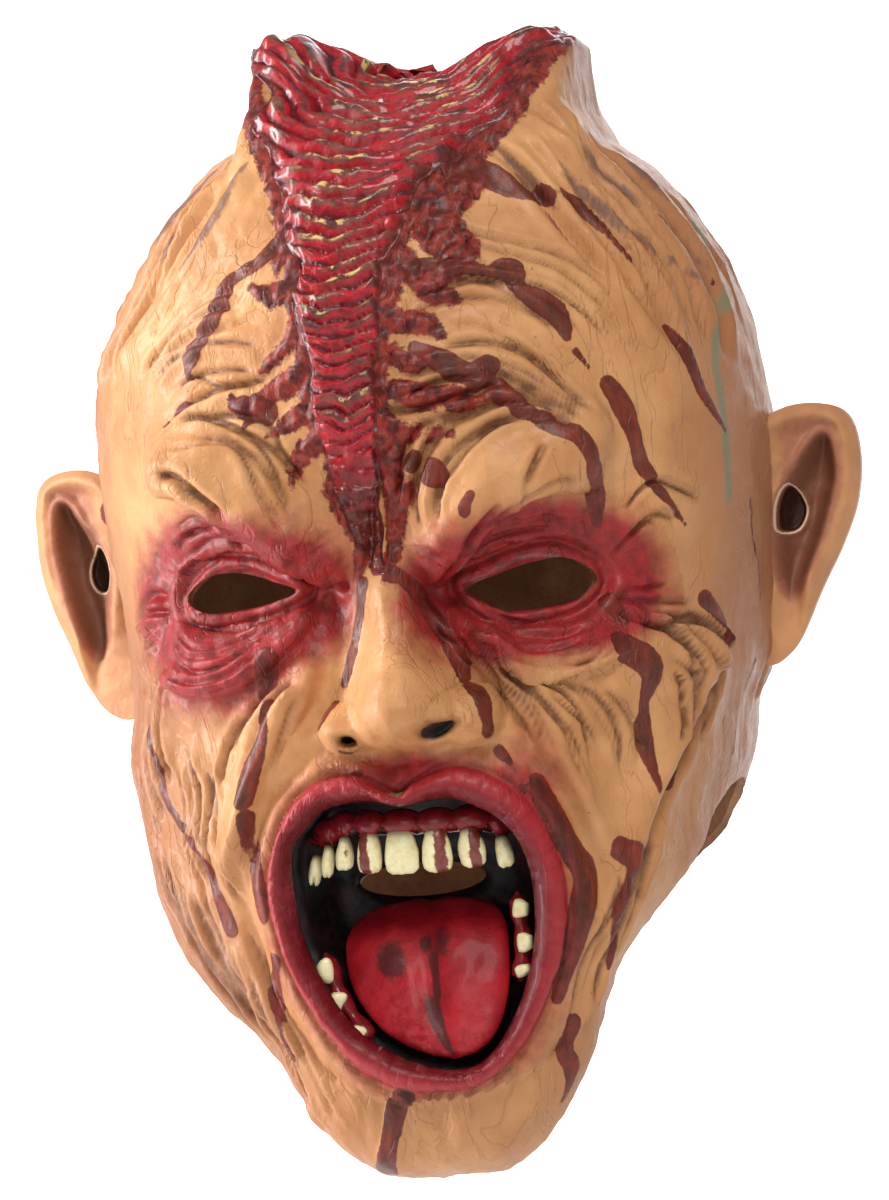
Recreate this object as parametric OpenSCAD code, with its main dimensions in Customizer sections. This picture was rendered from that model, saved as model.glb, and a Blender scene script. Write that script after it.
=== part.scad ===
// Full-head latex mask of a howling, split-headed ghoul.
// Frame: +Z up, the face looks along -Y, +X is the wearer's left.
// The origin lies on the neck's axis, level with the bottom of the chin.

/* [Head] */
// Height of the middle of the head above the chin
centre_z = 158; // [156:1:160]
// Thickness of the latex, measured towards the middle of the head
wall = 2.6; // [2.4:0.1:3]
// Reach of the nose beyond the face
nose_reach = 29; // [24:1:32]
// Height of the two torn crests beyond the crown
crest_reach = 16; // [12:1:20]

/* [Eyes] */
// Length of each eye opening
eye_w = 36; // [32:1:38]
// Height of each eye opening
eye_h = 12; // [10:1:13]

/* [Mouth] */
// Width of the mouth opening
mouth_w = 70; // [68:1:72]
// Height of the mouth opening
mouth_h = 77; // [75:1:78]
// Height of the middle of the mouth above the chin
mouth_z = 69.5; // [69:0.5:70]
// Height that the lips stand beyond the face
lip_reach = 8; // [5:0.5:10]
// Height of the breathing slot above the tongue
slot_h = 9; // [7:0.5:9]

/* [Tongue] */
// Widest part of the tongue
tongue_w = 48; // [40:1:49]
// Thickness of the tongue at its middle
tongue_t = 12; // [9:0.5:13]

/* [Ears] */
// Reach of each ear's rim from its root
ear_reach = 30; // [26:1:31]
// Thickness of the ear's root
ear_root_t = 8; // [6:0.5:8]

/* [Hidden] */

skin_around = 44;
skin_up = 28;
centre = [0, 0, centre_z];

// Distance from the middle of the head to its surface against the angle of
// elevation: down the middle of the face, down the sides, down the back.
face_profile = [
    [-70, 170], [-63, 176], [-57, 170], [-51, 153], [-43, 134], [-26, 113],
    [-9, 98.5], [0, 96], [15, 105], [30, 121], [40, 132], [60, 152],
    [80, 166], [90, 167]];
side_profile = [
    [-60, 104], [-45, 106], [-30, 103], [-15, 98], [0, 97], [10, 100],
    [30, 116.5], [50, 139.5], [65, 154.8], [90, 167]];
back_profile = [
    [-60, 130], [-45, 120], [-18, 108], [0, 110], [17, 118], [35, 131.6],
    [50, 143.4], [74, 159.5], [90, 167]];
// How square each level of the head is, as the power of a superellipse
squareness = [[-50, 2.7], [-30, 2.4], [0, 2.2], [90, 2.1]];
// Elevation of the hem against the angle round the neck, 0 at the chin
hem_profile = [
    [0, -68], [20, -63], [44, -50], [77, -33], [100, -31], [130, -37],
    [155, -46], [180, -49]];
// Reach of the nose against elevation, as a share of nose_reach
nose_profile = [
    [-21, 0], [-16, 0.45], [-11, 1], [-6, 0.85], [2, 0.42], [10, 0.1],
    [16, 0]];

function heading(phi, lam) =
    [sin(phi) * cos(lam), -cos(phi) * cos(lam), sin(lam)];
function hump(phi, lam, at, spread) =
    exp(-pow((phi - at[0]) / spread[0], 2)
        - pow((lam - at[1]) / spread[1], 2));
function ramp(a, b, x) = min(1, max(0, (x - a) / (b - a)));

// The plain head, without features
function plain_r(phi, lam) =
    let (ends = cos(phi) > 0 ? face_profile : back_profile,
         n = lookup(lam, squareness))
    pow(pow(abs(cos(phi)) / lookup(lam, ends), n)
        + pow(abs(sin(phi)) / lookup(lam, side_profile), n), -1 / n);

function nose(phi, lam) =
    nose_reach * lookup(lam, nose_profile) * exp(-pow((phi - 2) / 9.5, 2));
function brow(phi, lam) =
    7 * (hump(phi, lam, [-24, 15], [16, 7]) + hump(phi, lam, [24, 12], [16, 7]));
function sockets(phi, lam) =
    6 * (hump(phi, lam, [-27, 7], [13, 6]) + hump(phi, lam, [27, 4], [13, 6]));
function cheeks(phi, lam) =
    6 * (hump(phi, lam, [-38, -8], [14, 9]) + hump(phi, lam, [38, -10], [14, 9]));
function lips(phi, lam) =
    let (p = plain_r(phi, lam) * heading(phi, lam) + centre,
         ring = norm([p.x / (mouth_w / 2 + 4), (p.z - mouth_z - 1) / (mouth_h / 2 + 4)]))
    p.y > 0 ? 0 : lip_reach * exp(-pow((ring - 1) / 0.16, 2));
// Two torn crests, each steep outside and slack towards the middle
function crest(phi, lam) =
    let (d = heading(phi, lam),
         across = d.x > 0.03 ? ramp(0.38, 0.32, d.x) * ramp(0.03, 0.26, d.x)
                             : ramp(-0.26, -0.21, d.x) * ramp(0.03, -0.18, d.x),
         along = ramp(-0.5, -0.14, d.y) * ramp(0.3, 0.05, d.y))
    d.z < 0.6 ? 0 : crest_reach * (d.x > 0.03 ? 1 : 0.8) * across * along;
function inner_r(phi, lam) =
    plain_r(phi, lam) + nose(phi, lam) + brow(phi, lam) - sockets(phi, lam)
    + cheeks(phi, lam) + lips(phi, lam) - wall;
function skin_r(phi, lam) = inner_r(phi, lam) + wall + crest(phi, lam);
function skin_point(phi, lam, lift = 0) =
    centre + (skin_r(phi, lam) + lift) * heading(phi, lam);
function lining_point(phi, lam) = centre + inner_r(phi, lam) * heading(phi, lam);

// Columns lie closer together across the face than round the back
function column_phi(i) =
    let (u = 2 * i / skin_around - 1) 180 * u - 28 * sin(180 * u);
function row_lam(phi, j) =
    let (hem = lookup(abs(phi), hem_profile)) hem + (86 - hem) * j / skin_up;

// Two triangles for each cell of a grid whose rows hold n points
function cell(a, b, c, d, flip) =
    flip ? [[a, c, b], [a, d, c]] : [[a, b, c], [a, c, d]];
function grid_faces(rows, n, closed, base, flip) = [
    for (j = [0 : rows - 2], i = [0 : closed ? n - 1 : n - 2])
        each cell(base + j * n + i, base + (j + 1) * n + i,
                  base + (j + 1) * n + (i + 1) % n, base + j * n + (i + 1) % n, flip)];

// A closed plate between two grids of points with the same rows and columns
module plate(top, bottom) {
    rows = len(top);
    n = len(top[0]);
    m = rows * n;
    rim = concat(
        [for (i = [0 : n - 2]) i],
        [for (j = [0 : rows - 2]) j * n + n - 1],
        [for (i = [n - 1 : -1 : 1]) (rows - 1) * n + i],
        [for (j = [rows - 1 : -1 : 1]) j * n]);
    k = len(rim);
    polyhedron(
        [for (row = top) each row, for (row = bottom) each row],
        concat(
            grid_faces(rows, n, false, 0, false),
            grid_faces(rows, n, false, m, true),
            [for (i = [0 : k - 1])
                each cell(rim[i], rim[(i + 1) % k], rim[(i + 1) % k] + m, rim[i] + m, false)]));
}

// A closed body through rings of points, with a point at each end
module lofted(rings, first, last) {
    rows = len(rings);
    n = len(rings[0]);
    polyhedron(
        concat([for (ring = rings) each ring], [first, last]),
        concat(
            grid_faces(rows, n, true, 0, false),
            [for (i = [0 : n - 1]) [rows * n, i, (i + 1) % n]],
            [for (i = [0 : n - 1])
                [rows * n + 1, (rows - 1) * n + (i + 1) % n, (rows - 1) * n + i]]));
}

module head_shell() {
    n = skin_around;
    rows = skin_up + 1;
    m = rows * n;
    polyhedron(
        concat(
            [for (j = [0 : skin_up], i = [0 : n - 1])
                skin_point(column_phi(i), row_lam(column_phi(i), j))],
            [for (j = [0 : skin_up], i = [0 : n - 1])
                lining_point(column_phi(i), row_lam(column_phi(i), j))],
            [skin_point(0, 90), lining_point(0, 90)]),
        concat(
            grid_faces(rows, n, true, 0, false),
            grid_faces(rows, n, true, m, true),
            [for (i = [0 : n - 1]) [2 * m, m - n + (i + 1) % n, m - n + i]],
            [for (i = [0 : n - 1]) [2 * m + 1, 2 * m - n + i, 2 * m - n + (i + 1) % n]],
            [for (i = [0 : n - 1]) each cell(i, (i + 1) % n, m + (i + 1) % n, m + i, false)]));
}

// Outline of the mouth, squarer above and round below. A negative number of
// steps goes round the other way.
function mouth_outline(share, steps) = [
    for (i = [0 : abs(steps) - 1])
        let (t = 360 * i / steps,
             n = sin(t) > 0 ? 3 : 2,
             r = pow(pow(abs(cos(t)), n) + pow(abs(sin(t)), n), -1 / n))
        [share * r * cos(t) * mouth_w / 2, share * r * sin(t) * mouth_h / 2]];
// Depth of the dental arch at a distance across the mouth
function arch_y(x) = -97 + 0.0105 * x * x;

module through_face(x, z, y0, y1) {
    translate([x, y1, z]) rotate([90, 0, 0]) linear_extrude(y1 - y0) children();
}

// An eye opening: a flat lower lid and an upper lid that peaks outside
module eye_outline(side) {
    half = eye_w / 2;
    polygon(concat(
        [for (i = [0 : 12])
            let (s = -1 + i / 6) [s * half, -eye_h * 0.42 * (1 - s * s)]],
        [for (i = [1 : 11])
            let (s = 1 - i / 6)
            [s * half, eye_h * 0.58 * pow(1 - s * s, 0.8) * (1 + 0.25 * s * side)]]));
}

right_eye = [-44.5, 172.5];
left_eye = [41, 166.5];

module head_skin() {
    color("burlywood")
    resize([0, 0, 0])
    difference() {
        head_shell();
        through_face(right_eye[0], right_eye[1], -130, -60) eye_outline(-1);
        through_face(left_eye[0], left_eye[1], -130, -60) eye_outline(1);
        through_face(0, mouth_z, -130, -60) polygon(mouth_outline(1, 40));
    }
}

// Ribbed flesh in the split, from behind the crests down to the nose.
// Each row is [angle from the crown towards the face, middle x, half width].
wound_rows = [
    [-18, 6, 22], [-8, 7, 38], [4, 8, 44], [14, 7, 40], [22, 3, 28],
    [30, -3, 17], [38, -6, 15], [46, -7, 14], [54, -7, 13], [62, -7, 12],
    [70, -6, 9], [78, -2, 5], [81, 0, 3]];
wound_across = 8;
wound_steps = 48;
function wound_value(a, k) = lookup(a, [for (row = wound_rows) [row[0], row[k]]]);
// The point of the skin that lies a from the crown and s across the split
function wound_point(a, s, lift) =
    let (x = wound_value(a, 1) + s * wound_value(a, 2),
         d = [x / 165, -sin(a), cos(a)],
         phi = atan2(d.x, -d.y),
         lam = atan2(d.z, norm([d.x, d.y])))
    skin_point(phi, lam, lift);
function rib_lift(a, s) = 1 + 2.4 * (1 - pow(s, 4)) + 0.8 * sin(a * 90) * (1 - s * s);

module crest_wound() {
    angles = [for (i = [0 : wound_steps]) -18 + 99 * i / wound_steps];
    shares = [for (i = [0 : wound_across]) 2 * i / wound_across - 1];
    color("firebrick")
    plate([for (a = angles) [for (s = shares) wound_point(a, -s, rib_lift(a, s))]],
          [for (a = angles) [for (s = shares) wound_point(a, -s, 0.1)]]);
}

// Reach of the ear's rim against height, from the lobe to the top
ear_outline = [
    [0, 0.24], [0.06, 0.42], [0.2, 0.55], [0.45, 0.76], [0.65, 0.92],
    [0.82, 1], [0.93, 0.95], [1, 0.72]];
ear_root = [104, 3, 138];
ear_height = 76;
ear_sweep = 30;
// The hearing hole in the ear's hollow, and where it starts
ear_hole = [110, -8, 182];
ear_hole_depth = 14;
ear_rows = 14;
ear_cols = 8;
function ear_point(u, v, side) =
    let (reach = ear_reach * lookup(v, ear_outline) * u,
         cup = -7 * sin(180 * u) * sin(180 * v),
         thick = (ear_root_t - (ear_root_t - 3) * pow(u, 0.5)) * min(1, 0.5 + 3 * min(v, 1 - v)),
         n = cup + side * thick / 2)
    [ear_root.x + (ear_root_t / 2) * (1 - u) * 0.4 + reach * cos(ear_sweep) + n * sin(ear_sweep),
     ear_root.y + reach * sin(ear_sweep) - n * cos(ear_sweep),
     ear_root.z + ear_height * v - 3 * u * (v - 0.5)];

module ear() {
    us = [for (i = [0 : ear_cols]) i / ear_cols];
    vs = [for (j = [0 : ear_rows]) j / ear_rows];
    color("tan")
    resize([0, 0, 0])
    difference() {
        plate([for (v = vs) [for (u = us) ear_point(u, v, 1)]],
              [for (v = vs) [for (u = us) ear_point(u, v, -1)]]);
        translate(ear_hole) rotate([-90, 0, 0]) scale([1, 2, 1])
            cylinder(h = ear_hole_depth, r = 3, $fn = 24);
    }
}
module left_ear() { ear(); }
module right_ear() { mirror([1, 0, 0]) ear(); }

// The black cup behind the lips, open to the wearer through one slot
liner_rings = 6;
liner_around = 36;
liner_t = 2;
liner_y = -62;
function liner_ring(share, lift) = [
    for (p = mouth_outline(share, -liner_around))
        [p[0], liner_y - 28 * pow(share, 5) + 0.006 * p[0] * p[0] * share + lift, mouth_z + p[1]]];
// The cup's rim lies against the lining of the skin, outside the opening
function liner_rim(share, lift) = [
    for (p = mouth_outline(share, -liner_around))
        let (phi = atan2(p[0], 90), lam = atan2(mouth_z + p[1] - centre_z, norm([p[0], 90])))
        centre + (inner_r(phi, lam) - lift) * heading(phi, lam)];
slot_z = 85;
slot_w = 42;

module mouth_liner() {
    shares = [for (i = [1 : liner_rings]) i / liner_rings];
    front = concat([for (s = shares) liner_ring(s, 0)], [liner_rim(1.16, 0.4)]);
    back = concat(
        [liner_rim(1.16, 0.4 + liner_t)],
        [for (i = [liner_rings : -1 : 1]) liner_ring(i / liner_rings, liner_t)]);
    color("black")
    resize([0, 0, 0])
    difference() {
        lofted(concat(front, back), [0, liner_y, mouth_z], [0, liner_y + liner_t, mouth_z]);
        translate([-slot_w / 2, liner_y - 13, slot_z - slot_h / 2]) cube([slot_w, 30, slot_h]);
    }
}

// A ridge of gum that follows the mouth's outline between two angles: half its
// height, and half its depth above and below the tongue
gum_h = 4.6;
upper_gum_d = 7;
lower_gum_d = 4.5;
function gum_centre(t) =
    let (n = sin(t) > 0 ? 3 : 2,
         r = pow(pow(abs(cos(t)), n) + pow(abs(sin(t)), n), -1 / n),
         x = 0.9 * r * cos(t) * mouth_w / 2)
    [x, arch_y(x) + 4.5, mouth_z + 0.865 * r * sin(t) * mouth_h / 2];
module gum(from, to, steps, depth) {
    color("darkred")
    lofted(
        [for (i = [0 : steps])
            let (t = from + (to - from) * i / steps,
                 c = gum_centre(t) + [0, (depth - lower_gum_d) / 2, 0],
                 fat = sin(180 * (0.12 + 0.76 * i / steps)))
            [for (k = [0 : 9])
                let (a = 36 * k)
                c + [gum_h * cos(a) * cos(t), depth * sin(a), gum_h * cos(a) * sin(t)] * (0.5 + 0.5 * fat)]],
        gum_centre(from) + [0, (depth - lower_gum_d) / 2, 0], gum_centre(to) + [0, (depth - lower_gum_d) / 2, 0]);
}
module upper_gum() { gum(32, 148, 16, upper_gum_d); }
module lower_left_gum() { gum(-28, 24, 8, lower_gum_d); }
module lower_right_gum() { gum(180, 240, 8, lower_gum_d); }

// Each tooth is [x, z, width, height, lean]; the tip points down at lean 0
upper_teeth = [
    [-29.6, 91.6, 4.5, 9, 12], [-25.2, 93.6, 4, 10, 8], [-19.6, 95.6, 5.4, 10.5, 5],
    [-11.6, 95.3, 6.8, 12.5, 2], [-2, 95, 8.8, 13.5, 0], [8.2, 94.6, 8.4, 13.5, -2],
    [18, 94.6, 7.8, 12.5, -4], [26.6, 92.4, 5.4, 10, -8]];
lower_left_teeth = [[29.8, 75.2, 9, 4.5, 100], [30.2, 65.4, 8.6, 4, 90], [29, 57.4, 6, 4, 75]];
lower_right_teeth = [[-29.4, 61.5, 8.6, 4.5, -96], [-26.4, 52.3, 8.6, 4.5, -62], [-20, 43.2, 9, 5, -48]];
module tooth(t, back) {
    color("ivory")
    translate([t[0], arch_y(t[0]) + back, t[1]])
    rotate([0, t[4], 0])
    lofted(
        [for (j = [1 : 6])
            let (q = -1 + 2 * j / 7, r = pow(1 - pow(abs(q), 3), 1 / 2.4), taper = 1 - 0.14 * (0.5 - q / 2))
            [for (k = [0 : 11])
                let (a = 30 * k)
                [t[2] / 2 * r * taper * cos(a), 2 * r * sin(a), q * t[3] / 2]]],
        [0, 0, -t[3] / 2], [0, 0, t[3] / 2]);
}
module upper_tooth(i) { tooth(upper_teeth[i - 1], 1); }
module lower_left_tooth(i) { tooth(lower_left_teeth[i - 1], 1); }
module lower_right_tooth(i) { tooth(lower_right_teeth[i - 1], 1); }

// The tongue: [y, z, middle x, half width share, thickness share] along it
tongue_rows = [
    [-65.5, 77.2, 0, 0.62, 0.45], [-70, 74.5, -0.5, 0.86, 0.8], [-76, 70, -0.5, 0.98, 0.95],
    [-81, 64, 0, 1, 1], [-85, 57, 1, 0.97, 1], [-88.5, 50, 2.5, 0.88, 0.95],
    [-91.5, 43.5, 4.5, 0.72, 0.85], [-94, 38.5, 6.5, 0.5, 0.68], [-95, 35.5, 8, 0.27, 0.42]];
module tongue() {
    rings = [
        for (row = tongue_rows)
            [for (k = [0 : 19])
                let (a = -18 * k, c = cos(a), s = sin(a))
                [row[2] + row[3] * tongue_w / 2 * sign(c) * pow(abs(c), 0.8),
                 row[0] + row[4] * tongue_t / 2 * 0.87 * s,
                 row[1] + row[4] * tongue_t / 2 * 0.5 * s]]];
    color("crimson")
    lofted(rings, [0, -64, 78.6], [8.6, -95.2, 34.2]);
}

head_skin();
crest_wound();
left_ear();
right_ear();
mouth_liner();
upper_gum();
lower_left_gum();
lower_right_gum();
tongue();
for (i = [1 : len(upper_teeth)])
    upper_tooth(i);
for (i = [1 : len(lower_left_teeth)])
    lower_left_tooth(i);
for (i = [1 : len(lower_right_teeth)])
    lower_right_tooth(i);
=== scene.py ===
"""Full-head latex mask of a howling ghoul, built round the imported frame.

Lengths are in millimetres and angles in degrees until a mesh is made. A place on the head is its turn and
rise as seen from the middle of the head: turn 0 is the front and grows towards +X, rise 0 is level
with the ears.
"""

import math

import bpy
import numpy as np
from mathutils import Matrix, Vector


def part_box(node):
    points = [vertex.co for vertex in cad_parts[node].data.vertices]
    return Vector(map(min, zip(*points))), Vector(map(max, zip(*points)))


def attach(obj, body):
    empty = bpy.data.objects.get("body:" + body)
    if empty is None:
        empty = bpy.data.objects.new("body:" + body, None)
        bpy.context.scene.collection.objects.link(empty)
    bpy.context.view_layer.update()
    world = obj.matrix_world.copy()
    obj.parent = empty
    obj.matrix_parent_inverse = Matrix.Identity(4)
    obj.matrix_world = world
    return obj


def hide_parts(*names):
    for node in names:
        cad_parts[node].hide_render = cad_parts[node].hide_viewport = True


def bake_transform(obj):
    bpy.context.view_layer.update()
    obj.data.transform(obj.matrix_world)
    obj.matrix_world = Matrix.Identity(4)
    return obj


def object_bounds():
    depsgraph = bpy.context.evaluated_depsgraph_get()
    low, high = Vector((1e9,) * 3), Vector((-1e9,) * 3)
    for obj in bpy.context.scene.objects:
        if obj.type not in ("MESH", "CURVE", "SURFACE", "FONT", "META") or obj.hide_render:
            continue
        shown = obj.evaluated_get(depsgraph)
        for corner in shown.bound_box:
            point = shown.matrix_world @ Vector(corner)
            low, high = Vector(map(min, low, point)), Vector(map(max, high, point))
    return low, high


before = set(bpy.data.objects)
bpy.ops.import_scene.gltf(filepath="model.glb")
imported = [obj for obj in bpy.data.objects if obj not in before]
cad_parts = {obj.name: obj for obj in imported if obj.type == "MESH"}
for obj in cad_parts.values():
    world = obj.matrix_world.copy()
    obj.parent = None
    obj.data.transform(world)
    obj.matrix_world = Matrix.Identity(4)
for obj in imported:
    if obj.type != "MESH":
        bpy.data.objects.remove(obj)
cad_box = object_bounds()

MM = 0.001
COLUMNS = 440
ROWS = 420
SKIN_THICKNESS = 2.4
MIDDLE_HEIGHT = 159.2  # of the head's middle above the lowest point of its skin


def box(node):
    """A CAD node's lowest and highest corners, in millimetres."""
    low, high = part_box(node)
    return np.array(low) / MM, np.array(high) / MM


CENTRE = np.array([0.0, 0.0, box("head_skin")[0][2] + MIDDLE_HEIGHT])


# ---------------------------------------------------------------- numbers
def table(x, rows, column=1):
    """A smooth curve through the rows (x, y, ...), level beyond its ends."""
    xs = np.array([row[0] for row in rows], float)
    ys = np.array([row[column] for row in rows], float)
    slopes = np.gradient(ys, xs)
    x = np.clip(x, xs[0], xs[-1])
    i = np.clip(np.searchsorted(xs, x) - 1, 0, len(xs) - 2)
    h = xs[i + 1] - xs[i]
    t = (x - xs[i]) / h
    start = (2 * t**3 - 3 * t**2 + 1) * ys[i] + (t**3 - 2 * t**2 + t) * h * slopes[i]
    return start + (3 * t**2 - 2 * t**3) * ys[i + 1] + (t**3 - t**2) * h * slopes[i + 1]


def smooth(a, b, x):
    t = np.clip((x - a) / (b - a), 0, 1)
    return t * t * (3 - 2 * t)


def hump(turn, rise, at, spread, lean=0):
    """A soft bump in turn and rise, leaning by an angle."""
    c, s = math.cos(math.radians(lean)), math.sin(math.radians(lean))
    u, v = turn - at[0], rise - at[1]
    return np.exp(-(((u * c + v * s) / spread[0]) ** 2) - ((v * c - u * s) / spread[1]) ** 2)


def waves(points, size, seed, count=7):
    """Smooth noise from about -1 to 1, its lumps about size across."""
    pick = np.random.default_rng(seed)
    total = np.zeros(len(points))
    for _ in range(count):
        way = pick.normal(size=3)
        way *= 2 * math.pi / size * pick.uniform(0.55, 1.3) / np.linalg.norm(way)
        total += np.sin(points @ way + pick.uniform(0, 2 * math.pi))
    return total / math.sqrt(count) * 0.8


def spline(points, steps):
    """A smooth line through the points, with that many steps between neighbours."""
    p = np.array(points, float)
    p = np.vstack([2 * p[0] - p[1], p, 2 * p[-1] - p[-2]])
    t = np.arange(steps) / steps
    out = []
    for a, b, c, d in zip(p[:-3], p[1:-2], p[2:-1], p[3:]):
        for s in t:
            out.append(
                0.5 * (
                    2 * b + (c - a) * s + (2 * a - 5 * b + 4 * c - d) * s**2 + (3 * b - a - 3 * c + d) * s**3
                )
            )
    out.append(p[-2])
    return np.array(out)


def ring(points, steps=6):
    """A smooth closed outline through the points."""
    p = list(points)
    whole = spline(p[-2:] + p + p[:3], steps)
    return whole[2 * steps : (2 + len(p)) * steps]


def outline_distance(xz, outline):
    """Signed distance from a closed outline, negative inside, and the nearest point on it."""
    best = np.full(len(xz), 1e9)
    near = np.zeros((len(xz), 2))
    inside = np.zeros(len(xz), bool)
    for p, q in zip(outline, np.roll(outline, -1, axis=0)):
        side = q - p
        t = np.clip((xz - p) @ side / (side @ side), 0, 1)
        foot = p + t[:, None] * side
        d = np.linalg.norm(xz - foot, axis=1)
        closer = d < best
        best[closer] = d[closer]
        near[closer] = foot[closer]
        crossed = (p[1] > xz[:, 1]) != (q[1] > xz[:, 1])
        if p[1] != q[1]:
            inside ^= crossed & (xz[:, 0] < (q[0] - p[0]) * (xz[:, 1] - p[1]) / (q[1] - p[1]) + p[0])
    return np.where(inside, -best, best), near


def line_distance(points, path, widths, reach=25, normals=None):
    """For the points near a line: their numbers, distance, the line's half width there and its share so far.

    With normals, the distance has a sign, positive on the line's left as it is seen from outside.
    """
    pad = reach + widths.max()
    chosen = np.flatnonzero(np.all((points > path.min(0) - pad) & (points < path.max(0) + pad), axis=1))
    p = points[chosen]
    best = np.full(len(p), 1e9)
    dist = np.full(len(p), 1e9)
    half = np.ones(len(p))
    along = np.zeros(len(p))
    sign = np.ones(len(p))
    last = len(path) - 1
    for k in range(last):
        side = path[k + 1] - path[k]
        t = np.clip((p - path[k]) @ side / max(side @ side, 1e-9), 0, 1)
        off = p - path[k] - t[:, None] * side
        d = np.linalg.norm(off, axis=1)
        w = widths[k] + t * (widths[k + 1] - widths[k])
        closer = d - w < best
        if normals is not None:
            turned = np.cross(normals[chosen], side)
            sign[closer] = np.sign(np.sum(turned * off, axis=1))[closer]
        best[closer] = (d - w)[closer]
        dist[closer] = d[closer]
        half[closer] = w[closer]
        along[closer] = ((k + t) / last)[closer]
    return chosen, dist * sign, half, along


# ---------------------------------------------------------------- faces
def closed_cells(rows, around):
    """Four-cornered faces between neighbouring rings of points."""
    grid = np.arange(rows * around).reshape(rows, around)
    following = np.roll(grid, -1, axis=1)
    return np.stack([grid[:-1], following[:-1], following[1:], grid[1:]], axis=-1).reshape(-1, 4)


def open_cells(rows, columns):
    """Four-cornered faces of a flat grid of points."""
    grid = np.arange(rows * columns).reshape(rows, columns)
    return np.stack([grid[:-1, :-1], grid[:-1, 1:], grid[1:, 1:], grid[1:, :-1]], axis=-1).reshape(-1, 4)


def border_of(cells, total):
    """The edges that only one of the cells has."""
    edges = np.stack([cells, np.roll(cells, -1, axis=1)], axis=-1).reshape(-1, 2)
    key = edges.min(1).astype(np.int64) * (4 * total) + edges.max(1)
    _, where, times = np.unique(key, return_index=True, return_counts=True)
    return edges[where[times == 1]]


def capped_faces(rows, around):
    """Faces of a roll of rings whose ends close on the two points after the last ring."""
    tip = rows * around
    faces = closed_cells(rows, around).tolist()
    for k in range(around):
        following = (k + 1) % around
        faces.append((following, k, tip))
        faces.append((tip - around + k, tip - around + following, tip + 1))
    return faces


def section(around, flat_x, flat_y):
    """The two coordinates of a rounded oval; a power below 1 makes it squarer."""
    angle = np.linspace(0, 2 * math.pi, around, endpoint=False)
    c, s = np.cos(angle), np.sin(angle)
    return np.sign(c) * np.abs(c) ** flat_x, np.sign(s) * np.abs(s) ** flat_y


# ---------------------------------------------------------------- the plain head
FACE = [
    (-70, 170), (-63, 176), (-57, 170), (-51, 153), (-43, 134), (-26, 113), (-9, 98.5), (0, 96), (15, 105)
]
FACE += [(30, 121), (40, 132), (60, 152), (80, 166), (90, 167)]
SIDE = [
    (-60, 104), (-45, 106), (-30, 103), (-15, 98), (0, 97), (10, 100), (30, 116.5), (50, 139.5), (65, 154.8)
]
SIDE += [(90, 167)]
BACK = [
    (-60, 130), (-45, 120), (-18, 108), (0, 110), (17, 118), (35, 131.6), (50, 143.4), (74, 159.5), (90, 167)
]
SQUARENESS = [(-50, 2.7), (-30, 2.4), (0, 2.2), (90, 2.1)]
HEM = [(0, -68), (20, -63), (44, -50), (77, -33), (100, -31), (130, -37), (155, -46), (180, -49)]
TOP_RISE = 88.5


def heading(turn, rise):
    t, r = np.radians(turn), np.radians(rise)
    return np.stack([np.sin(t) * np.cos(r), -np.cos(t) * np.cos(r), np.sin(r)], axis=-1)


def plain_reach(turn, rise):
    t = np.radians(turn)
    ends = np.where(np.cos(t) > 0, table(rise, FACE), table(rise, BACK))
    n = table(rise, SQUARENESS)
    return ((np.abs(np.cos(t)) / ends) ** n + (np.abs(np.sin(t)) / table(rise, SIDE)) ** n) ** (-1 / n)


share = 2 * np.arange(COLUMNS) / COLUMNS - 1
turns = 180 * share - 28 * np.sin(np.pi * share)
hem_rise = table(np.abs(turns), HEM)
climb = np.arange(ROWS + 1)[:, None] / ROWS
rises = hem_rise[None, :] + (TOP_RISE - hem_rise[None, :]) * climb
T = np.broadcast_to(turns, rises.shape).ravel()
R = rises.ravel()


def grid_normals(points):
    """Normals of the head's grid of points, outwards."""
    g = points.reshape(ROWS + 1, COLUMNS, 3)
    across = np.roll(g, -1, axis=1) - np.roll(g, 1, axis=1)
    upward = np.gradient(g, axis=0)
    n = np.cross(across, upward).reshape(-1, 3)
    return n / np.maximum(np.linalg.norm(n, axis=1), 1e-9)[:, None]


plain = CENTRE + plain_reach(T, R)[:, None] * heading(T, R)
plain_normal = grid_normals(plain)


class Surface:
    """The head's points at one stage of the work, to look places up on."""

    def __init__(self, points):
        self.points = points
        d = points - CENTRE
        self.ways = d / np.linalg.norm(d, axis=1)[:, None]

    def at(self, places):
        places = np.array(places, float)
        ways = heading(places[:, 0], places[:, 1])
        return self.points[[int(np.argmax(self.ways @ w)) for w in ways]]

    def line(self, places, widths, reach=25, steps=5, normals=None):
        """A smooth line over the surface through places; widths is one half width or one for each place."""
        path = spline(self.at(places), steps)
        marks = np.linspace(0, 1, len(np.atleast_1d(widths)))
        w = np.interp(np.linspace(0, 1, len(path)), marks, np.atleast_1d(widths))
        return line_distance(self.points, path, w, reach, normals)


# ---------------------------------------------------------------- openings, as x and z on the front
RIGHT_EYE = [(-62.5, 173.5), (-55, 178.5), (-45, 178.5), (-34, 175), (-27, 172), (-34, 169.5), (-43, 168)]
RIGHT_EYE += [(-54, 167.5), (-60.5, 169.5)]
LEFT_EYE = [
    (23, 168.5), (32, 172), (41, 174.5), (51, 174.8), (58.8, 168.5), (53, 162.6), (44, 161), (34, 161)
]
LEFT_EYE += [(27, 164.5)]
MOUTH = [
    (-27, 105), (-21, 109), (-9, 110), (0, 108), (14, 109), (25, 104), (32, 96), (35, 84), (34, 66), (28, 48)
]
MOUTH += [(18, 34), (8, 31), (-6, 35), (-20, 45), (-29, 60), (-34, 75), (-34, 96)]
MOUTH_MIDDLE = np.array([0.0, 70.0])
LIPS = [(-41, 87), (-38, 99), (-31, 111), (-20, 118), (-11, 117), (-4, 113), (1, 111), (5, 114), (15, 118)]
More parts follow.
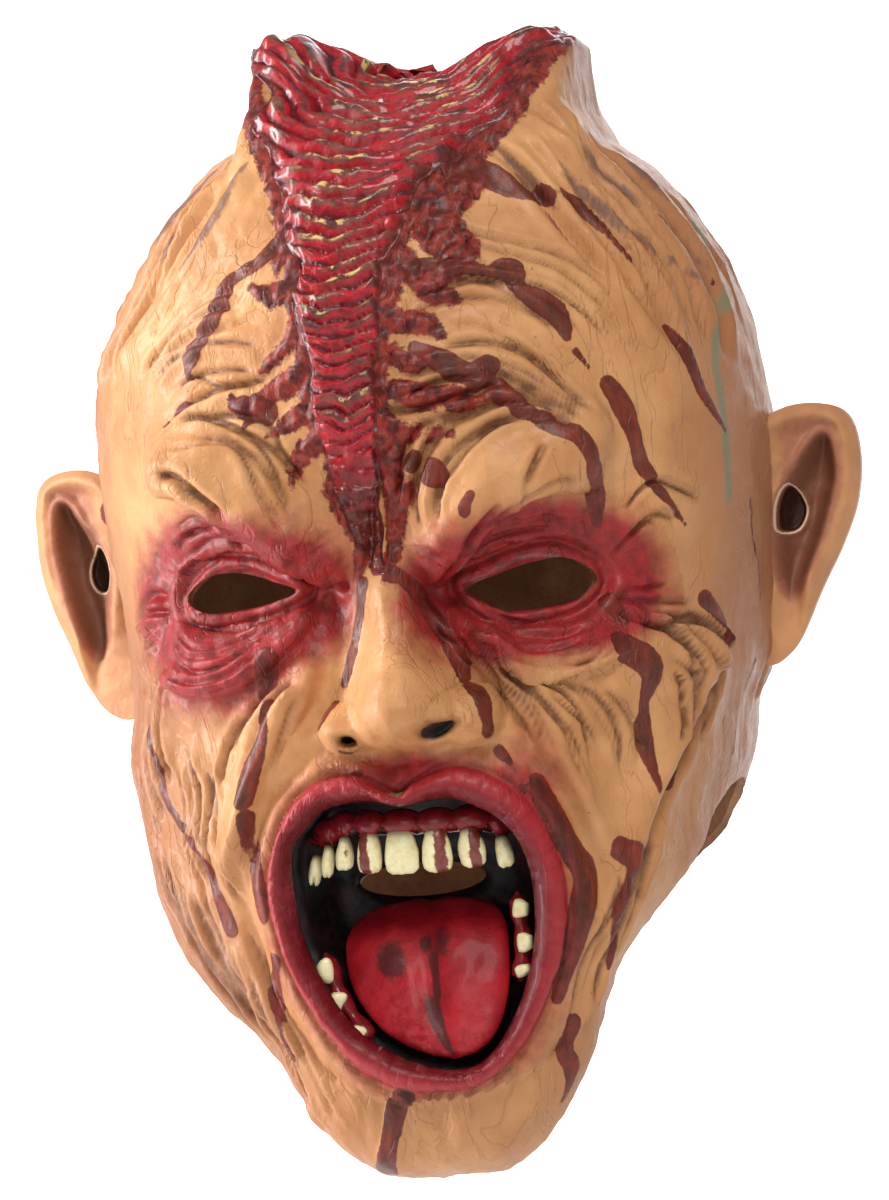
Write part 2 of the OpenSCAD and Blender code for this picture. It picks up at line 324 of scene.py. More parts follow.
LIPS += [
    (26, 115), (37, 105), (43, 88), (43, 72), (38, 55), (29, 38), (16, 27), (1, 25), (-14, 29), (-27, 43)
]
LIPS += [(-37, 64)]

right_eye, left_eye, mouth, lips = (ring(o) for o in (RIGHT_EYE, LEFT_EYE, MOUTH, LIPS))
front = plain[:, 1] < 0


def front_distance(points, outline, near=60):
    """Distance from an outline on the front of the head; far points and the back are simply far."""
    d = np.full(len(points), 99.0)
    middle = outline.mean(0)
    chosen = np.flatnonzero((points[:, 1] < 0) & (np.linalg.norm(points[:, [0, 2]] - middle, axis=1) < near))
    foot = np.zeros((len(points), 2))
    d[chosen], foot[chosen] = outline_distance(points[chosen][:, [0, 2]], outline)
    return d, foot


# ---------------------------------------------------------------- large forms
base = Surface(plain)
lift = np.zeros(len(plain))


def raise_line(surface, lift, places, widths, height, sharp=2.0):
    """Adds a long soft swelling (or, with a negative height, a hollow) along a line."""
    chosen, d, w, along = surface.line(places, widths, reach=2.5 * np.max(widths))
    ends = smooth(0, 0.12, along) * smooth(1, 0.88, along)
    lift[chosen] += height * np.exp(-((d / w) ** sharp)) * (0.35 + 0.65 * ends)


def ledge(surface, normals, lift, places, height, soft=1.6, fade=14):
    """Raises the left of a line, as seen from outside, in a step that dies away over fade millimetres."""
    chosen, d, _, along = surface.line(places, 1.0, reach=1.3 * fade, normals=normals)
    ends = smooth(0, 0.16, along) * smooth(1, 0.84, along)
    lift[chosen] += height * ends * smooth(-soft, soft, d) * smooth(fade, soft, d)


# brows, sockets, the bags below the eyes, the folds beside nose and mouth, the cheek and the chin
raise_line(base, lift, [(-41, 27), (-31, 27), (-23, 24), (-16, 18), (-11, 13)], [8, 11, 11, 9, 6], 8)
raise_line(base, lift, [(9, 12), (12, 17), (19, 23), (28, 25), (40, 25)], [6, 9, 11, 12, 9], 8)
ledge(
    base, plain_normal, lift, [(-40, 23), (-31, 23), (-26, 21), (-21, 17), (-14, 11), (-8, 7)], 6.5, 1.3, 22
)
ledge(base, plain_normal, lift, [(7, 5), (12, 9), (16, 13), (21, 17), (28, 19), (38, 19)], 6.5, 1.3, 22)
lift -= 9 * hump(T, R, (-28, 10), (13, 7), -8) + 9 * hump(T, R, (27, 7), (13, 7), -2)
lift -= 6 * hump(T, R, (-11, 6), (4, 5)) + 6 * hump(T, R, (10, 4), (4, 5))
lift -= 3 * hump(T, R, (0, 17), (3, 9))
lift += 6 * hump(T, R, (-38, -6), (14, 9)) + 6 * hump(T, R, (38, -9), (14, 9))
raise_line(base, lift, [(-41, 3), (-34, -2), (-25, -2), (-17, 3)], 5, 3)
raise_line(base, lift, [(14, -1), (20, -5), (29, -6), (38, -3)], 5, 3)
ledge(base, plain_normal, lift, [(-46, -3), (-37, -8), (-27, -8), (-17, -1), (-12, 5)], 3.5, 1.2, 9)
ledge(base, plain_normal, lift, [(10, 3), (16, -5), (23, -10), (32, -10), (42, -6)], 3.5, 1.2, 9)
ledge(
    base, plain_normal, lift, [(-29, -38), (-26, -28), (-22, -20), (-18, -14), (-13, -8), (-12, 0)], 5, 2.2,
    16
)
ledge(
    base, plain_normal, lift, [(6, 5), (9, 0), (14, -6), (19, -12), (23, -19), (28, -28), (32, -38)], 5, 2.2,
    16
)
ledge(
    base, plain_normal, lift, [(30, -48), (37, -40), (44, -32), (52, -23), (60, -13), (66, -3)], 3.5, 3.0, 22
)
raise_line(base, lift, [(-26, -56), (-14, -59), (0, -60), (14, -58)], 9, 3)

x, z = plain[:, 0], plain[:, 2]
NOSE = [
    (120, 0, 10), (123.5, 4, 13), (127, 15.5, 15.5), (130, 23.5, 16.5), (135, 28.5, 16.5), (141, 26.5, 14.5)
]
NOSE += [(149, 21, 11), (161, 14, 8.5), (172, 8, 7.5), (180, 3.5, 6.5), (190, 0, 7)]
WINGS = [(-14, 131.5, 6.5, 12.5), (22.5, 132.5, 7.5, 15.0)]
NOSTRILS = [(-12.5, 127.5, 2.4, 1.3, -14), (14.5, 129, 6.0, 2.3, 20)]
nose_x = 2.8 + 0.06 * (174 - z)
nose = table(z, NOSE, 1) * np.exp(-(np.abs((x - nose_x) / table(z, NOSE, 2)) ** 2.8))
nose_crease = np.zeros(len(plain))
for cx, cz, radius, height in WINGS:
    d = np.sqrt(((x - cx) / radius) ** 2 + ((z - cz) / radius) ** 2)
    wing = height * np.sqrt(np.clip(1 - (d / 1.2) ** 2, 0, 1))
    nose_crease += np.where(front, np.exp(-(((d - 1.2) / 0.13) ** 2)) * smooth(-6, 2, z - cz), 0)
    nose = np.log(np.exp(nose / 1.2) + np.exp(wing / 1.2) - 1) * 1.2
pits = np.zeros(len(plain))
for cx, cz, half_x, half_z, lean in NOSTRILS:
    c, s = math.cos(math.radians(lean)), math.sin(math.radians(lean))
    u, v = (x - cx) * c + (z - cz) * s, (z - cz) * c - (x - cx) * s
    pits = np.maximum(pits, np.where(front, np.exp(-((u / half_x) ** 2 + (v / half_z) ** 2) ** 1.4), 0))
forward = np.where(front, nose - 9 * pits - 0.6 * nose_crease, 0)

mouth_gap, _ = front_distance(plain, mouth)
lip_edge, _ = front_distance(plain, lips)
right_lid, _ = front_distance(plain, right_eye, 40)
left_lid, _ = front_distance(plain, left_eye, 40)
lip_share = np.clip(mouth_gap / np.maximum(mouth_gap - lip_edge, 0.01), 0, 1)
on_lip = (mouth_gap > 0) & (lip_edge < 0)
swell = np.where(on_lip, np.sin(np.pi * np.clip(lip_share, 0, 1) ** 0.75) ** 0.75, 0)
around_mouth = np.arctan2(z - mouth[:, 1].mean(), x - mouth[:, 0].mean())
lift += 6.5 * swell
lift += 3.4 * np.exp(-(((lip_edge - 2) / 4.5) ** 2)) * (mouth_gap > 0)
lift -= 1.0 * np.exp(-((lip_edge / 0.9) ** 2)) * (mouth_gap > 0)
lift -= 1.8 * np.exp(-(((lip_edge - 9) / 2.2) ** 2)) * smooth(112, 95, z)
lift += 2.4 * np.exp(-(((lip_edge - 12) / 3.2) ** 2)) * (0.5 + 0.5 * smooth(80, 115, z))
for lid in (right_lid, left_lid):
    lift += 2.2 * np.exp(-(((lid - 1.2) / 1.6) ** 2)) - 1.3 * np.exp(-(((lid - 4.2) / 1.2) ** 2))
    lift += 1.0 * np.exp(-(((lid - 6.5) / 1.6) ** 2))


def crest_height(d):
    """How far the two torn crests stand above the crown, for directions from the head's middle."""
    left = smooth(0.425, 0.355, d[:, 0]) * smooth(0.08, 0.35, d[:, 0]) ** 1.4
    right = smooth(-0.30, -0.245, d[:, 0]) * smooth(-0.02, -0.235, d[:, 0]) ** 1.4
    along = smooth(-0.50, -0.12, d[:, 1]) * smooth(0.32, 0.02, d[:, 1])
    saddle = 7 * hump(d[:, 0], d[:, 1], (0.03, -0.12), (0.17, 0.3))
    return np.where(d[:, 2] > 0.55, along * (24 * left + 21 * right) - saddle, 0)


# how far each side of the uneven head leans to the wearer's right, by height
RIGHT_LEAN = [
    (-5, -2), (20, 0), (36, 8), (51, 17), (66, 14.5), (82, 10.5), (97, 7), (112, 4.8), (127, 4), (142, 0.5)
]
RIGHT_LEAN += [
    (152, 0), (225, 0), (240, 0), (250, -1.5), (265, -4), (280, -4.5), (295, -4), (302, -5), (308, -9)
]
RIGHT_LEAN += [(316, -13), (323, -11), (332, -6)]
LEFT_LEAN = [
    (-5, 12), (10, 7), (25, 9), (40, 12), (55, 12), (70, 5.5), (85, 2), (99, 5.6), (113, 4.8), (128, 4.5)
]
LEFT_LEAN += [
    (142, 0.5), (152, 0), (200, 0), (262, 0), (275, 0.5), (290, 1.5), (300, 4.5), (308, 8.5), (315, 9.5)
]
LEFT_LEAN += [(322, 10), (333, 6.5)]
formed = plain + lift[:, None] * plain_normal + forward[:, None] * np.array([0, -1.0, 0])
sideways = smooth(25, 60, np.abs(T)) * smooth(165, 130, np.abs(T))
formed += crest_height(heading(T, R))[:, None] * heading(T, R)
lean = np.where(T < 0, table(formed[:, 2], RIGHT_LEAN), table(formed[:, 2], LEFT_LEAN))
moved = sideways * lean
formed[:, 0] -= moved
formed_normal = grid_normals(formed)
form = Surface(formed)

# ---------------------------------------------------------------- folds and creases
relief = np.zeros(len(plain))
wash_and_shade = np.zeros(len(plain))


def crease(places, widths, depth, dark=1.0, lip=0.35, roll=0.45, surface=form):
    """A groove with raised edges, more so on its left, the foot of a fold. Dark paint and painted shade
    gather in it.
    """
    widest = np.max(widths)
    chosen, d, w, along = surface.line(places, widths, reach=10 * widest, normals=formed_normal)
    q = np.abs(d) / w
    ends = smooth(0, 0.18, along) * smooth(1, 0.82, along)
    folded = roll * smooth(0.3, 1.8, d / w) * smooth(9, 1.8, d / w)
    relief[chosen] += ends * depth * (lip * np.exp(-((q - 2.3) ** 2) / 1.4) - np.exp(-(q**2)) + folded)
    wash_and_shade[chosen] += dark * ends * min(1.2, depth) * (
        np.exp(-((q / 0.75) ** 2)) + 0.12 * np.exp(-((q / 3.5) ** 2))
    )


def fold_family(first, last, count, width, depth, seed, dark=0.8, stray=1.2):
    """Creases that pass from one guide line to another, each a little astray and of its own length."""
    pick = np.random.default_rng(seed)
    a, b = np.array(first, float), np.array(last, float)
    for k in range(count):
        mix = (k + 0.5 * pick.uniform(-0.6, 0.6)) / max(count - 1, 1)
        path = a + (b - a) * mix + pick.normal(0, stray, a.shape) * 0.55
        dense = spline(path, 4)
        start = int(pick.uniform(0, 0.22) * len(dense))
        stop = len(dense) - int(pick.uniform(0, 0.25) * len(dense))
        size = pick.uniform(0.7, 1.25)
        crease(
            dense[start:stop:2], 0.8 * width * size, depth * pick.uniform(0.55, 1.15),
            dark * pick.uniform(0.4, 1)
        )


# forehead, above and beside the split
fold_family(
    [(14, 52), (25, 50), (38, 46), (48, 38)], [(6, 41), (18, 43), (31, 38), (43, 26)], 7, 1.3, 1.0, 11
)
fold_family([(6, 38), (17, 39), (28, 36), (40, 24)], [(4, 31), (13, 33), (24, 31), (37, 21)], 6, 1.3, 1.1, 12)
fold_family(
    [(-18, 46), (-26, 46), (-36, 43), (-46, 38)], [(-14, 40), (-24, 41), (-34, 40), (-46, 33)], 4, 1.3, 1.0,
    13
)
fold_family(
    [(-14, 38), (-23, 38), (-33, 37), (-45, 31)], [(-13, 34), (-22, 35), (-32, 33), (-44, 27)], 4, 1.3, 1.1,
    14
)
crease([(2, 31), (8, 31), (17, 32), (22, 33)], 1.3, 1.6, 1.2)
# brows: rolls that turn down to the bridge of the nose
fold_family(
    [(-9, 17), (-12, 25), (-17, 31), (-28, 33), (-40, 30)],
    [(-13, 14), (-17, 21), (-22, 26), (-29, 28), (-38, 27)], 5, 1.3, 1.4, 15
)
fold_family(
    [(4, 14), (4, 21), (8, 28), (18, 31), (30, 29)], [(11, 14), (12, 20), (17, 25), (24, 27), (31, 25)], 5,
    1.3, 1.4, 16
)
crease([(-21, 17), (-25, 20), (-30, 23), (-38, 24)], 1.4, 2.0, 1.3)
crease([(-20, 16), (-14, 11), (-9, 9), (-6, 8)], 1.5, 2.0, 1.3)
crease([(7, 6), (11, 8), (15, 13), (20, 17)], 1.4, 2.0, 1.2)
crease([(21, 16), (24, 20), (27, 24)], 1.1, 1.2, 1.0)
crease([(0, 22), (-1, 16), (-2, 10)], 1.3, 1.8, 1.2)
# round the eyes
fold_family(
    [(-42, 11), (-36, 15), (-28, 16), (-20, 13)], [(-42, 18), (-34, 20), (-27, 19), (-20, 15)], 5, 0.9, 1.0,
    17, 0.7, 1.0
)
fold_family(
    [(-41, 5), (-34, 2), (-25, 3), (-16, 7)], [(-46, 1), (-37, -6), (-26, -5), (-15, 3)], 6, 0.9, 0.9, 18,
    0.6, 0.9
)
fold_family(
    [(13, 9), (19, 12), (28, 13), (37, 10)], [(14, 12), (20, 16), (29, 18), (39, 15)], 4, 0.9, 1.0, 19, 0.7,
    1.0
)
fold_family(
    [(13, 4), (20, 0), (29, -1), (37, 2)], [(13, -2), (20, -9), (29, -10), (39, -6)], 6, 0.9, 0.9, 20, 0.6,
    0.9
)
fold_family([(38, 5), (46, 4), (55, 6)], [(38, 0), (46, -3), (56, -2)], 3, 1.2, 1.4, 21)
fold_family(
    [(40, -1), (50, -5), (54, -12), (52, -22)], [(44, 0), (56, -3), (63, -10), (60, -22)], 5, 1.4, 1.5, 22
)
fold_family([(40, 9), (47, 13), (53, 11)], [(41, 14), (48, 19), (57, 16)], 3, 1.1, 1.1, 23)
fold_family([(-46, 4), (-53, 0), (-58, -10)], [(-44, 8), (-50, 10), (-60, 4)], 4, 1.3, 1.5, 24)
# cheeks
fold_family(
    [(5, 8), (9, 0), (15, -7), (20, -15), (24, -25)], [(13, 3), (19, -6), (25, -13), (30, -22), (32, -32)], 5,
    1.2, 1.2, 25
)
fold_family(
    [(21, -8), (27, -13), (31, -19), (33, -27)], [(30, -8), (36, -13), (40, -20), (40, -30)], 5, 1.1, 1.0, 26
)
fold_family(
    [(45, -8), (50, -13), (50, -18), (47, -26)], [(53, -6), (59, -12), (58, -18), (54, -26)], 3, 1.3, 1.1, 27
)
crease([(66, -6), (60, -14), (53, -22), (45, -30), (38, -39), (30, -47)], 2.2, 1.6, 0.5)
fold_family(
    [(-12, -6), (-16, -11), (-20, -17), (-24, -26)], [(-18, -4), (-24, -9), (-30, -15), (-34, -24)], 4, 1.2,
    1.2, 28
)
fold_family(
    [(-42, -2), (-46, -9), (-47, -17), (-42, -28)], [(-56, -4), (-60, -12), (-58, -22), (-50, -32)], 5, 1.3,
    1.4, 29
)
fold_family(
    [(-36, -14), (-34, -22), (-35, -30), (-31, -40)], [(-44, -14), (-41, -22), (-41, -30), (-36, -40)], 5,
    1.2, 1.1, 30
)
fold_family(
    [(-40, -34), (-36, -42), (-31, -49), (-25, -57)], [(-58, -24), (-53, -35), (-45, -45), (-35, -55)], 6,
    1.7, 1.6, 31
)
fold_family(
    [(36, -33), (33, -40), (29, -47), (24, -55)], [(44, -30), (41, -38), (36, -44), (30, -52)], 4, 1.4, 1.1,
    32
)
fold_family(
    [(-30, -38), (-27, -46), (-22, -53), (-14, -60)], [(-36, -40), (-32, -48), (-27, -55), (-19, -62)], 4,
    1.2, 1.1, 33
)
# the torn crown: folds that run from the crests down the sides
fold_family(
    [(26, 66), (34, 58), (42, 48), (52, 36)], [(60, 66), (66, 56), (72, 44), (74, 30)], 8, 2.1, 1.9, 34, 0.35
)
fold_family(
    [(-34, 66), (-36, 58), (-42, 50), (-52, 40)], [(-70, 62), (-72, 52), (-74, 42), (-76, 28)], 8, 2.1, 1.9,
    35, 0.35
)
fold_family([(80, 60), (84, 48), (86, 34)], [(130, 58), (132, 44), (132, 28)], 5, 2.0, 0.8, 36, 0.15, 3)
fold_family([(-80, 60), (-84, 48), (-86, 34)], [(-130, 58), (-132, 44), (-132, 28)], 5, 2.0, 0.8, 37, 0.15, 3)
# back of the head and neck
fold_family(
    [(150, 10), (165, 8), (180, 8), (195, 9)], [(150, -28), (165, -30), (180, -30), (195, -29)], 5, 2.4, 0.9,
    38, 0.2, 2.5
)
fold_family([(90, -4), (92, -14), (94, -24)], [(140, -2), (138, -14), (136, -26)], 4, 2.4, 0.8, 39, 0.2, 3)
fold_family(
    [(-90, -4), (-92, -14), (-94, -24)], [(-140, -2), (-138, -14), (-136, -26)], 4, 2.4, 0.8, 40, 0.2, 3
)

FOLD_GAIN = 1.35
WASH_AND_SHADE_GAIN = 1.5
relief *= FOLD_GAIN
# painted shadow: a dark ring round each nose wing and dark nostril pits join the crease darkening and its
# painted shade
wash_and_shade = WASH_AND_SHADE_GAIN * wash_and_shade + 0.45 * nose_crease + 1.5 * pits
lip_creases = np.sin(
    around_mouth * 61 + 2.2 * np.sin(around_mouth * 7)
) + 0.6 * np.sin(around_mouth * 113 + 1)
relief += np.where(on_lip, 0.10 * lip_creases * np.clip(swell, 0, 1), 0)
relief += 0.35 * waves(formed, 14, 51) + 0.16 * waves(formed, 6, 52) + 0.1 * waves(formed, 3.2, 53, 9)

sculpted = formed + relief[:, None] * formed_normal
skin_normal = grid_normals(sculpted)
skin = Surface(sculpted)

# ---------------------------------------------------------------- painted runs, as places and half widths
RUNS = [
    (
        [(-15, 53), (-19, 50), (-25, 48), (-27, 45), (-28, 43), (-31, 40), (-32, 37)],
        [3, 2.5, 2.2, 4, 2.4, 3.6, 1.2]
    ),
    ([(-32, 34), (-33, 33), (-35, 31)], [1.6, 2, 0.6]),
    ([(-20, 33), (-16, 32)], [3.8, 3.8]),
    ([(-19, 31), (-20, 30)], [1.4, 0.8]),
    (
        [(8, 48), (16, 47), (22, 46), (26, 46), (27, 44), (30, 42), (33, 40), (34, 38)],
        [2.5, 3, 2.6, 4, 2.4, 3.8, 3.6, 1.6]
    ),
    ([(35, 36), (37, 34)], [1.1, 0.5]),
    ([(9, 38), (13, 36), (17, 34), (20, 35)], [2.2, 3.6, 4.2, 3.6]),
    ([(21, 32), (24, 29), (26, 28), (29, 26), (32, 24), (34, 21)], [3.8, 3.4, 2.4, 3.6, 3, 2.4]),
    ([(34, 20), (36, 18), (37, 15)], [3.2, 3.4, 1.6]),
    ([(40, 32), (42, 29), (45, 22), (54, 13)], [3.2, 4, 3, 0.6]),
    ([(7, 24), (10, 22), (12, 21)], [3.4, 4.2, 2]),
    ([(15, 18), (14, 16), (15, 14)], [1.4, 2, 1]),
    ([(12, 62), (18, 61), (23, 60), (32, 56), (42, 54), (47, 51), (50, 46)], [5, 5, 5.5, 3.5, 3, 2.4, 0.8]),
    ([(-3, 8), (-6, -1), (-8, -8)], [2.4, 1.8, 1.6]),
    ([(-10, -11), (-11, -13)], [2.4, 2.2]),
    ([(2, 9), (6, 5), (10, -3), (14, -10), (15, -15), (17, -20), (20, -25)], [2.6, 3.6, 3, 3.2, 2.2, 2, 1]),
    ([(-21, -3), (-22, -8), (-21, -11), (-23, -17), (-25, -22)], [3.6, 3.6, 2.6, 3.4, 3.2]),
    ([(-51, -13), (-48, -19), (-47, -23), (-38, -31), (-34, -39)], [2.2, 3, 1.4, 1.4, 2.6]),
    ([(38, -5), (43, -9), (42, -14), (42, -20), (44, -27)], [4.5, 5, 2.2, 3.2, 0.8]),
    ([(59, 0), (63, -4), (62, -6), (54, -20)], [4, 3.6, 2, 0.6]),
    ([(52, -23), (48, -28)], [1.6, 2.2]),
    ([(38, 2), (40, -1)], [3, 2.6]),
    ([(-26, -25), (-26, -37)], [3, 3]),
    ([(-25, -42), (-27, -46), (-26, -52)], [2.6, 2.8, 1.2]),
    ([(22, -24), (25, -30), (29, -36), (26, -42), (23, -47)], [3, 4.2, 4.5, 4, 2]),
    ([(26, -51), (24, -53), (26, -55), (24, -58)], [2.4, 3, 3, 1]),
    ([(35, -33), (38, -35), (35, -41), (33, -47)], [3.6, 4.6, 3.4, 0.8]),
    ([(-4, -54), (-6, -55), (-9, -58), (-12, -62)], [3, 3.4, 2.6, 3.6]),
    ([(-11, -21), (-6, -21)], [1.2, 1.2]),
    ([(-2, -48), (-3, -51), (-4, -54)], [2.4, 3.0, 3.0]),
    ([(55, 39), (58, 35), (61, 30), (66, 26)], [1.6, 2.8, 2.4, 0.8]),
    ([(62, 55), (66, 51), (72, 44)], [1.8, 1.8, 0.8]),
    ([(75, 16), (80, 0)], [1, 0.7]),
    ([(79, -11), (74, -27)], [1, 0.7]),
]
# the split in the crown: degrees down from straight up, its middle, its half width
WOUND = [
    (-18, 6, 27), (-8, 8, 44), (4, 9, 50), (14, 8, 47), (22, 3, 37), (30, -3, 25), (38, -6, 18), (46, -7, 15)
]
WOUND += [(54, -7, 13), (62, -7, 12), (70, -6, 9), (78, -2, 5), (81, 0, 3)]
WOUND_START, WOUND_END = WOUND[0][0], WOUND[-1][0]
CROWN_REACH = 165  # from the head's middle up to the crown
ALONG = 2.88  # millimetres along the split for each degree


def wound_place(down, across):
    """The turn and rise of a place on the split; across is -1 and 1 at its two edges."""
    x = (table(down, WOUND, 1) + across * table(down, WOUND, 2)) / CROWN_REACH
    d = np.array([x, -math.sin(math.radians(down)), math.cos(math.radians(down))])
    d /= np.linalg.norm(d)
    return math.degrees(math.atan2(d[0], -d[1])), math.degrees(math.asin(d[2]))


# torn flesh along the split's two edges, from 2 degrees down to the brow, as half widths
EDGES = {-1: [2, 3, 2, 4, 3, 4, 2.5, 4.5, 3, 4, 2], 1: [2, 3, 4, 5, 6, 6, 4, 5, 3, 4, 2]}
# and the scraps that reach out from it over the skin
GORE = [
    ([(20, 64), (22, 59), (17, 55)], [6, 7, 6]),
    ([(8, 56), (14, 53), (17, 49), (15, 46)], [5, 8, 7, 3]),
    ([(7, 49), (12, 45), (16, 43)], [4, 5, 2]),
    ([(4, 42), (10, 41), (14, 39)], [4, 4, 1.2]),
    ([(3, 38), (9, 36), (12, 37)], [4, 3.5, 1.2]),
    ([(2, 34), (9, 32), (16, 31), (22, 32)], [4, 4.5, 3, 1.2]),
    ([(2, 29), (8, 28), (13, 27)], [4, 3.5, 1.2]),
    ([(-8, 48), (-15, 46), (-20, 47)], [4, 4, 1.2]),
    ([(-7, 43), (-12, 40), (-17, 37)], [4, 3.5, 1.2]),
    ([(-6, 38), (-13, 35), (-20, 33), (-22, 34)], [4, 4, 3, 1]),
    ([(-6, 33), (-12, 31), (-16, 29)], [4, 3, 1]),
    ([(-6, 29), (-11, 26), (-12, 22)], [4, 3, 1]),
    ([(-9, 57), (-14, 53), (-15, 49)], [4, 5, 2]),
    ([(-3, 29), (-5, 22), (-3, 15), (-4, 9)], [5, 5, 3.5, 1.2]),
    ([(3, 29), (4, 22), (3, 15), (1, 8)], [5, 5, 3.5, 1.2]),
]
VEIN = ([(85, 54), (75, 43), (67, 37), (66, 26), (67, 17)], 2.2)
STREAKS = [
    [(36, 66), (44, 56), (54, 48), (66, 44)],
    [(46, 68), (54, 58), (66, 50), (76, 44)],
    [(30, 64), (36, 56), (43, 51)],
    [(60, 68), (68, 58), (76, 50)],
    [(-40, 66), (-44, 58), (-52, 50), (-58, 42)],
    [(-50, 68), (-55, 58), (-62, 48)],
    [(-30, 62), (-33, 56), (-38, 50)],
]


def painted(lines):
    """Signed distance from the edge of a set of painted lines, negative on the paint."""
    edge = np.full(len(sculpted), 12.0)
    for places, widths in lines:
        chosen, d, w, _ = skin.line(places, np.array(widths, float), reach=12)
        edge[chosen] = np.minimum(edge[chosen], d - w)
    return edge


blood = painted(RUNS)
gore = painted(GORE)
for side, widths in EDGES.items():
    places = [wound_place(down, side * 1.03) for down in range(2, 68, 6)]
    path = spline(sculpted[[int(np.argmin((T - t) ** 2 + (R - r) ** 2)) for t, r in places]], 5)
    half = np.interp(np.linspace(0, 1, len(path)), np.linspace(0, 1, len(widths)), widths)
    chosen, d, w, _ = line_distance(sculpted, path, half, 12)
    gore[chosen] = np.minimum(gore[chosen], d - w)
vein = painted([VEIN])
streaks = painted([(places, [1.0, 2.2, 0.8]) for places in STREAKS])
relief_paint = 0.35 * smooth(0.6, -0.8, blood) + 0.8 * smooth(0.5, -2.5, gore) * (
    1 + 0.8 * waves(sculpted, 5, 61)
)
sculpted = sculpted + relief_paint[:, None] * skin_normal

# ---------------------------------------------------------------- cutting the openings
quads = closed_cells(ROWS + 1, COLUMNS)
keep = np.ones(len(quads), bool)
cuts = {}
for name, outline in (("right_eye", right_eye), ("left_eye", left_eye), ("mouth", mouth)):
    gap, foot = front_distance(sculpted, outline, 60)
    inside = gap < 0
    count = inside[quads].sum(1)
    keep &= count < 4
    edge = np.zeros(len(sculpted), bool)
    edge[quads[(count > 0) & (count < 4)].ravel()] = True
    edge &= inside
    move = foot[edge] - sculpted[edge][:, [0, 2]]
    n = skin_normal[edge]
    along_y = -(n[:, 0] * move[:, 0] + n[:, 2] * move[:, 1]) / np.minimum(n[:, 1], -0.3)
    sculpted[edge] += np.stack([move[:, 0], np.clip(along_y, -1.5, 1.5), move[:, 1]], axis=1)
    cuts[name] = np.flatnonzero(edge)
quads = quads[keep]

lining = formed - SKIN_THICKNESS * formed_normal
count = len(sculpted)
for rim in cuts.values():
    lining[rim] = sculpted[rim] - SKIN_THICKNESS * formed_normal[rim]

# the crown's last ring closes on one point, outside and in
top = np.arange(count - COLUMNS, count)
beside = np.roll(top, -1)
crown = np.array([sculpted[top].mean(0), lining[top].mean(0)])
outer_cap = [(a, b, 2 * count) for a, b in zip(top, beside)]
inner_cap = [(count + b, count + a, 2 * count + 1) for a, b in zip(top, beside)]

border = border_of(quads, count)
border = border[~np.isin(border, top).all(1)]
in_mouth = np.zeros(count, bool)
in_mouth[cuts["mouth"]] = True
mouth_border = border[in_mouth[border].all(1)]
other_border = border[~in_mouth[border].all(1)]

# the lips roll inwards from the mouth's edge: how far outwards and how far back each ring lies
LIP_ROLL = [(0.2, 1.2), (0.9, 3.2), (1.6, 5.6), (1.6, 8.5)]
rim = np.unique(mouth_border)
place_in_rim = np.full(count, -1)
place_in_rim[rim] = np.arange(len(rim))
away = sculpted[rim][:, [0, 2]] - MOUTH_MIDDLE
away /= np.linalg.norm(away, axis=1)[:, None]


def rolled(out, back):
    """The mouth's edge moved outwards and back."""
    return sculpted[rim] + np.stack([away[:, 0] * out, np.full(len(rim), back), away[:, 1] * out], axis=1)


rolls = [rolled(out, back) for out, back in LIP_ROLL]
lining[rim] = rolled(4.5, 4.0)

points = np.vstack([sculpted, lining, crown] + rolls)
faces = quads.tolist() + outer_cap
edge_now = mouth_border
for k in range(len(rolls)):
    edge_next = 2 * count + 2 + k * len(rim) + place_in_rim[mouth_border]
    faces += [(b, a, c, d) for (a, b), (c, d) in zip(edge_now, edge_next)]
    edge_now = edge_next
outer_faces = len(faces)
faces += (quads[:, ::-1] + count).tolist() + inner_cap
faces += [(b, a, count + a, count + b) for a, b in other_border]
faces += [(b, a, c, d) for (a, b), (c, d) in zip(edge_now, mouth_border + count)]
inner_flags = np.zeros(len(faces), int)
inner_flags[outer_faces:] = 1


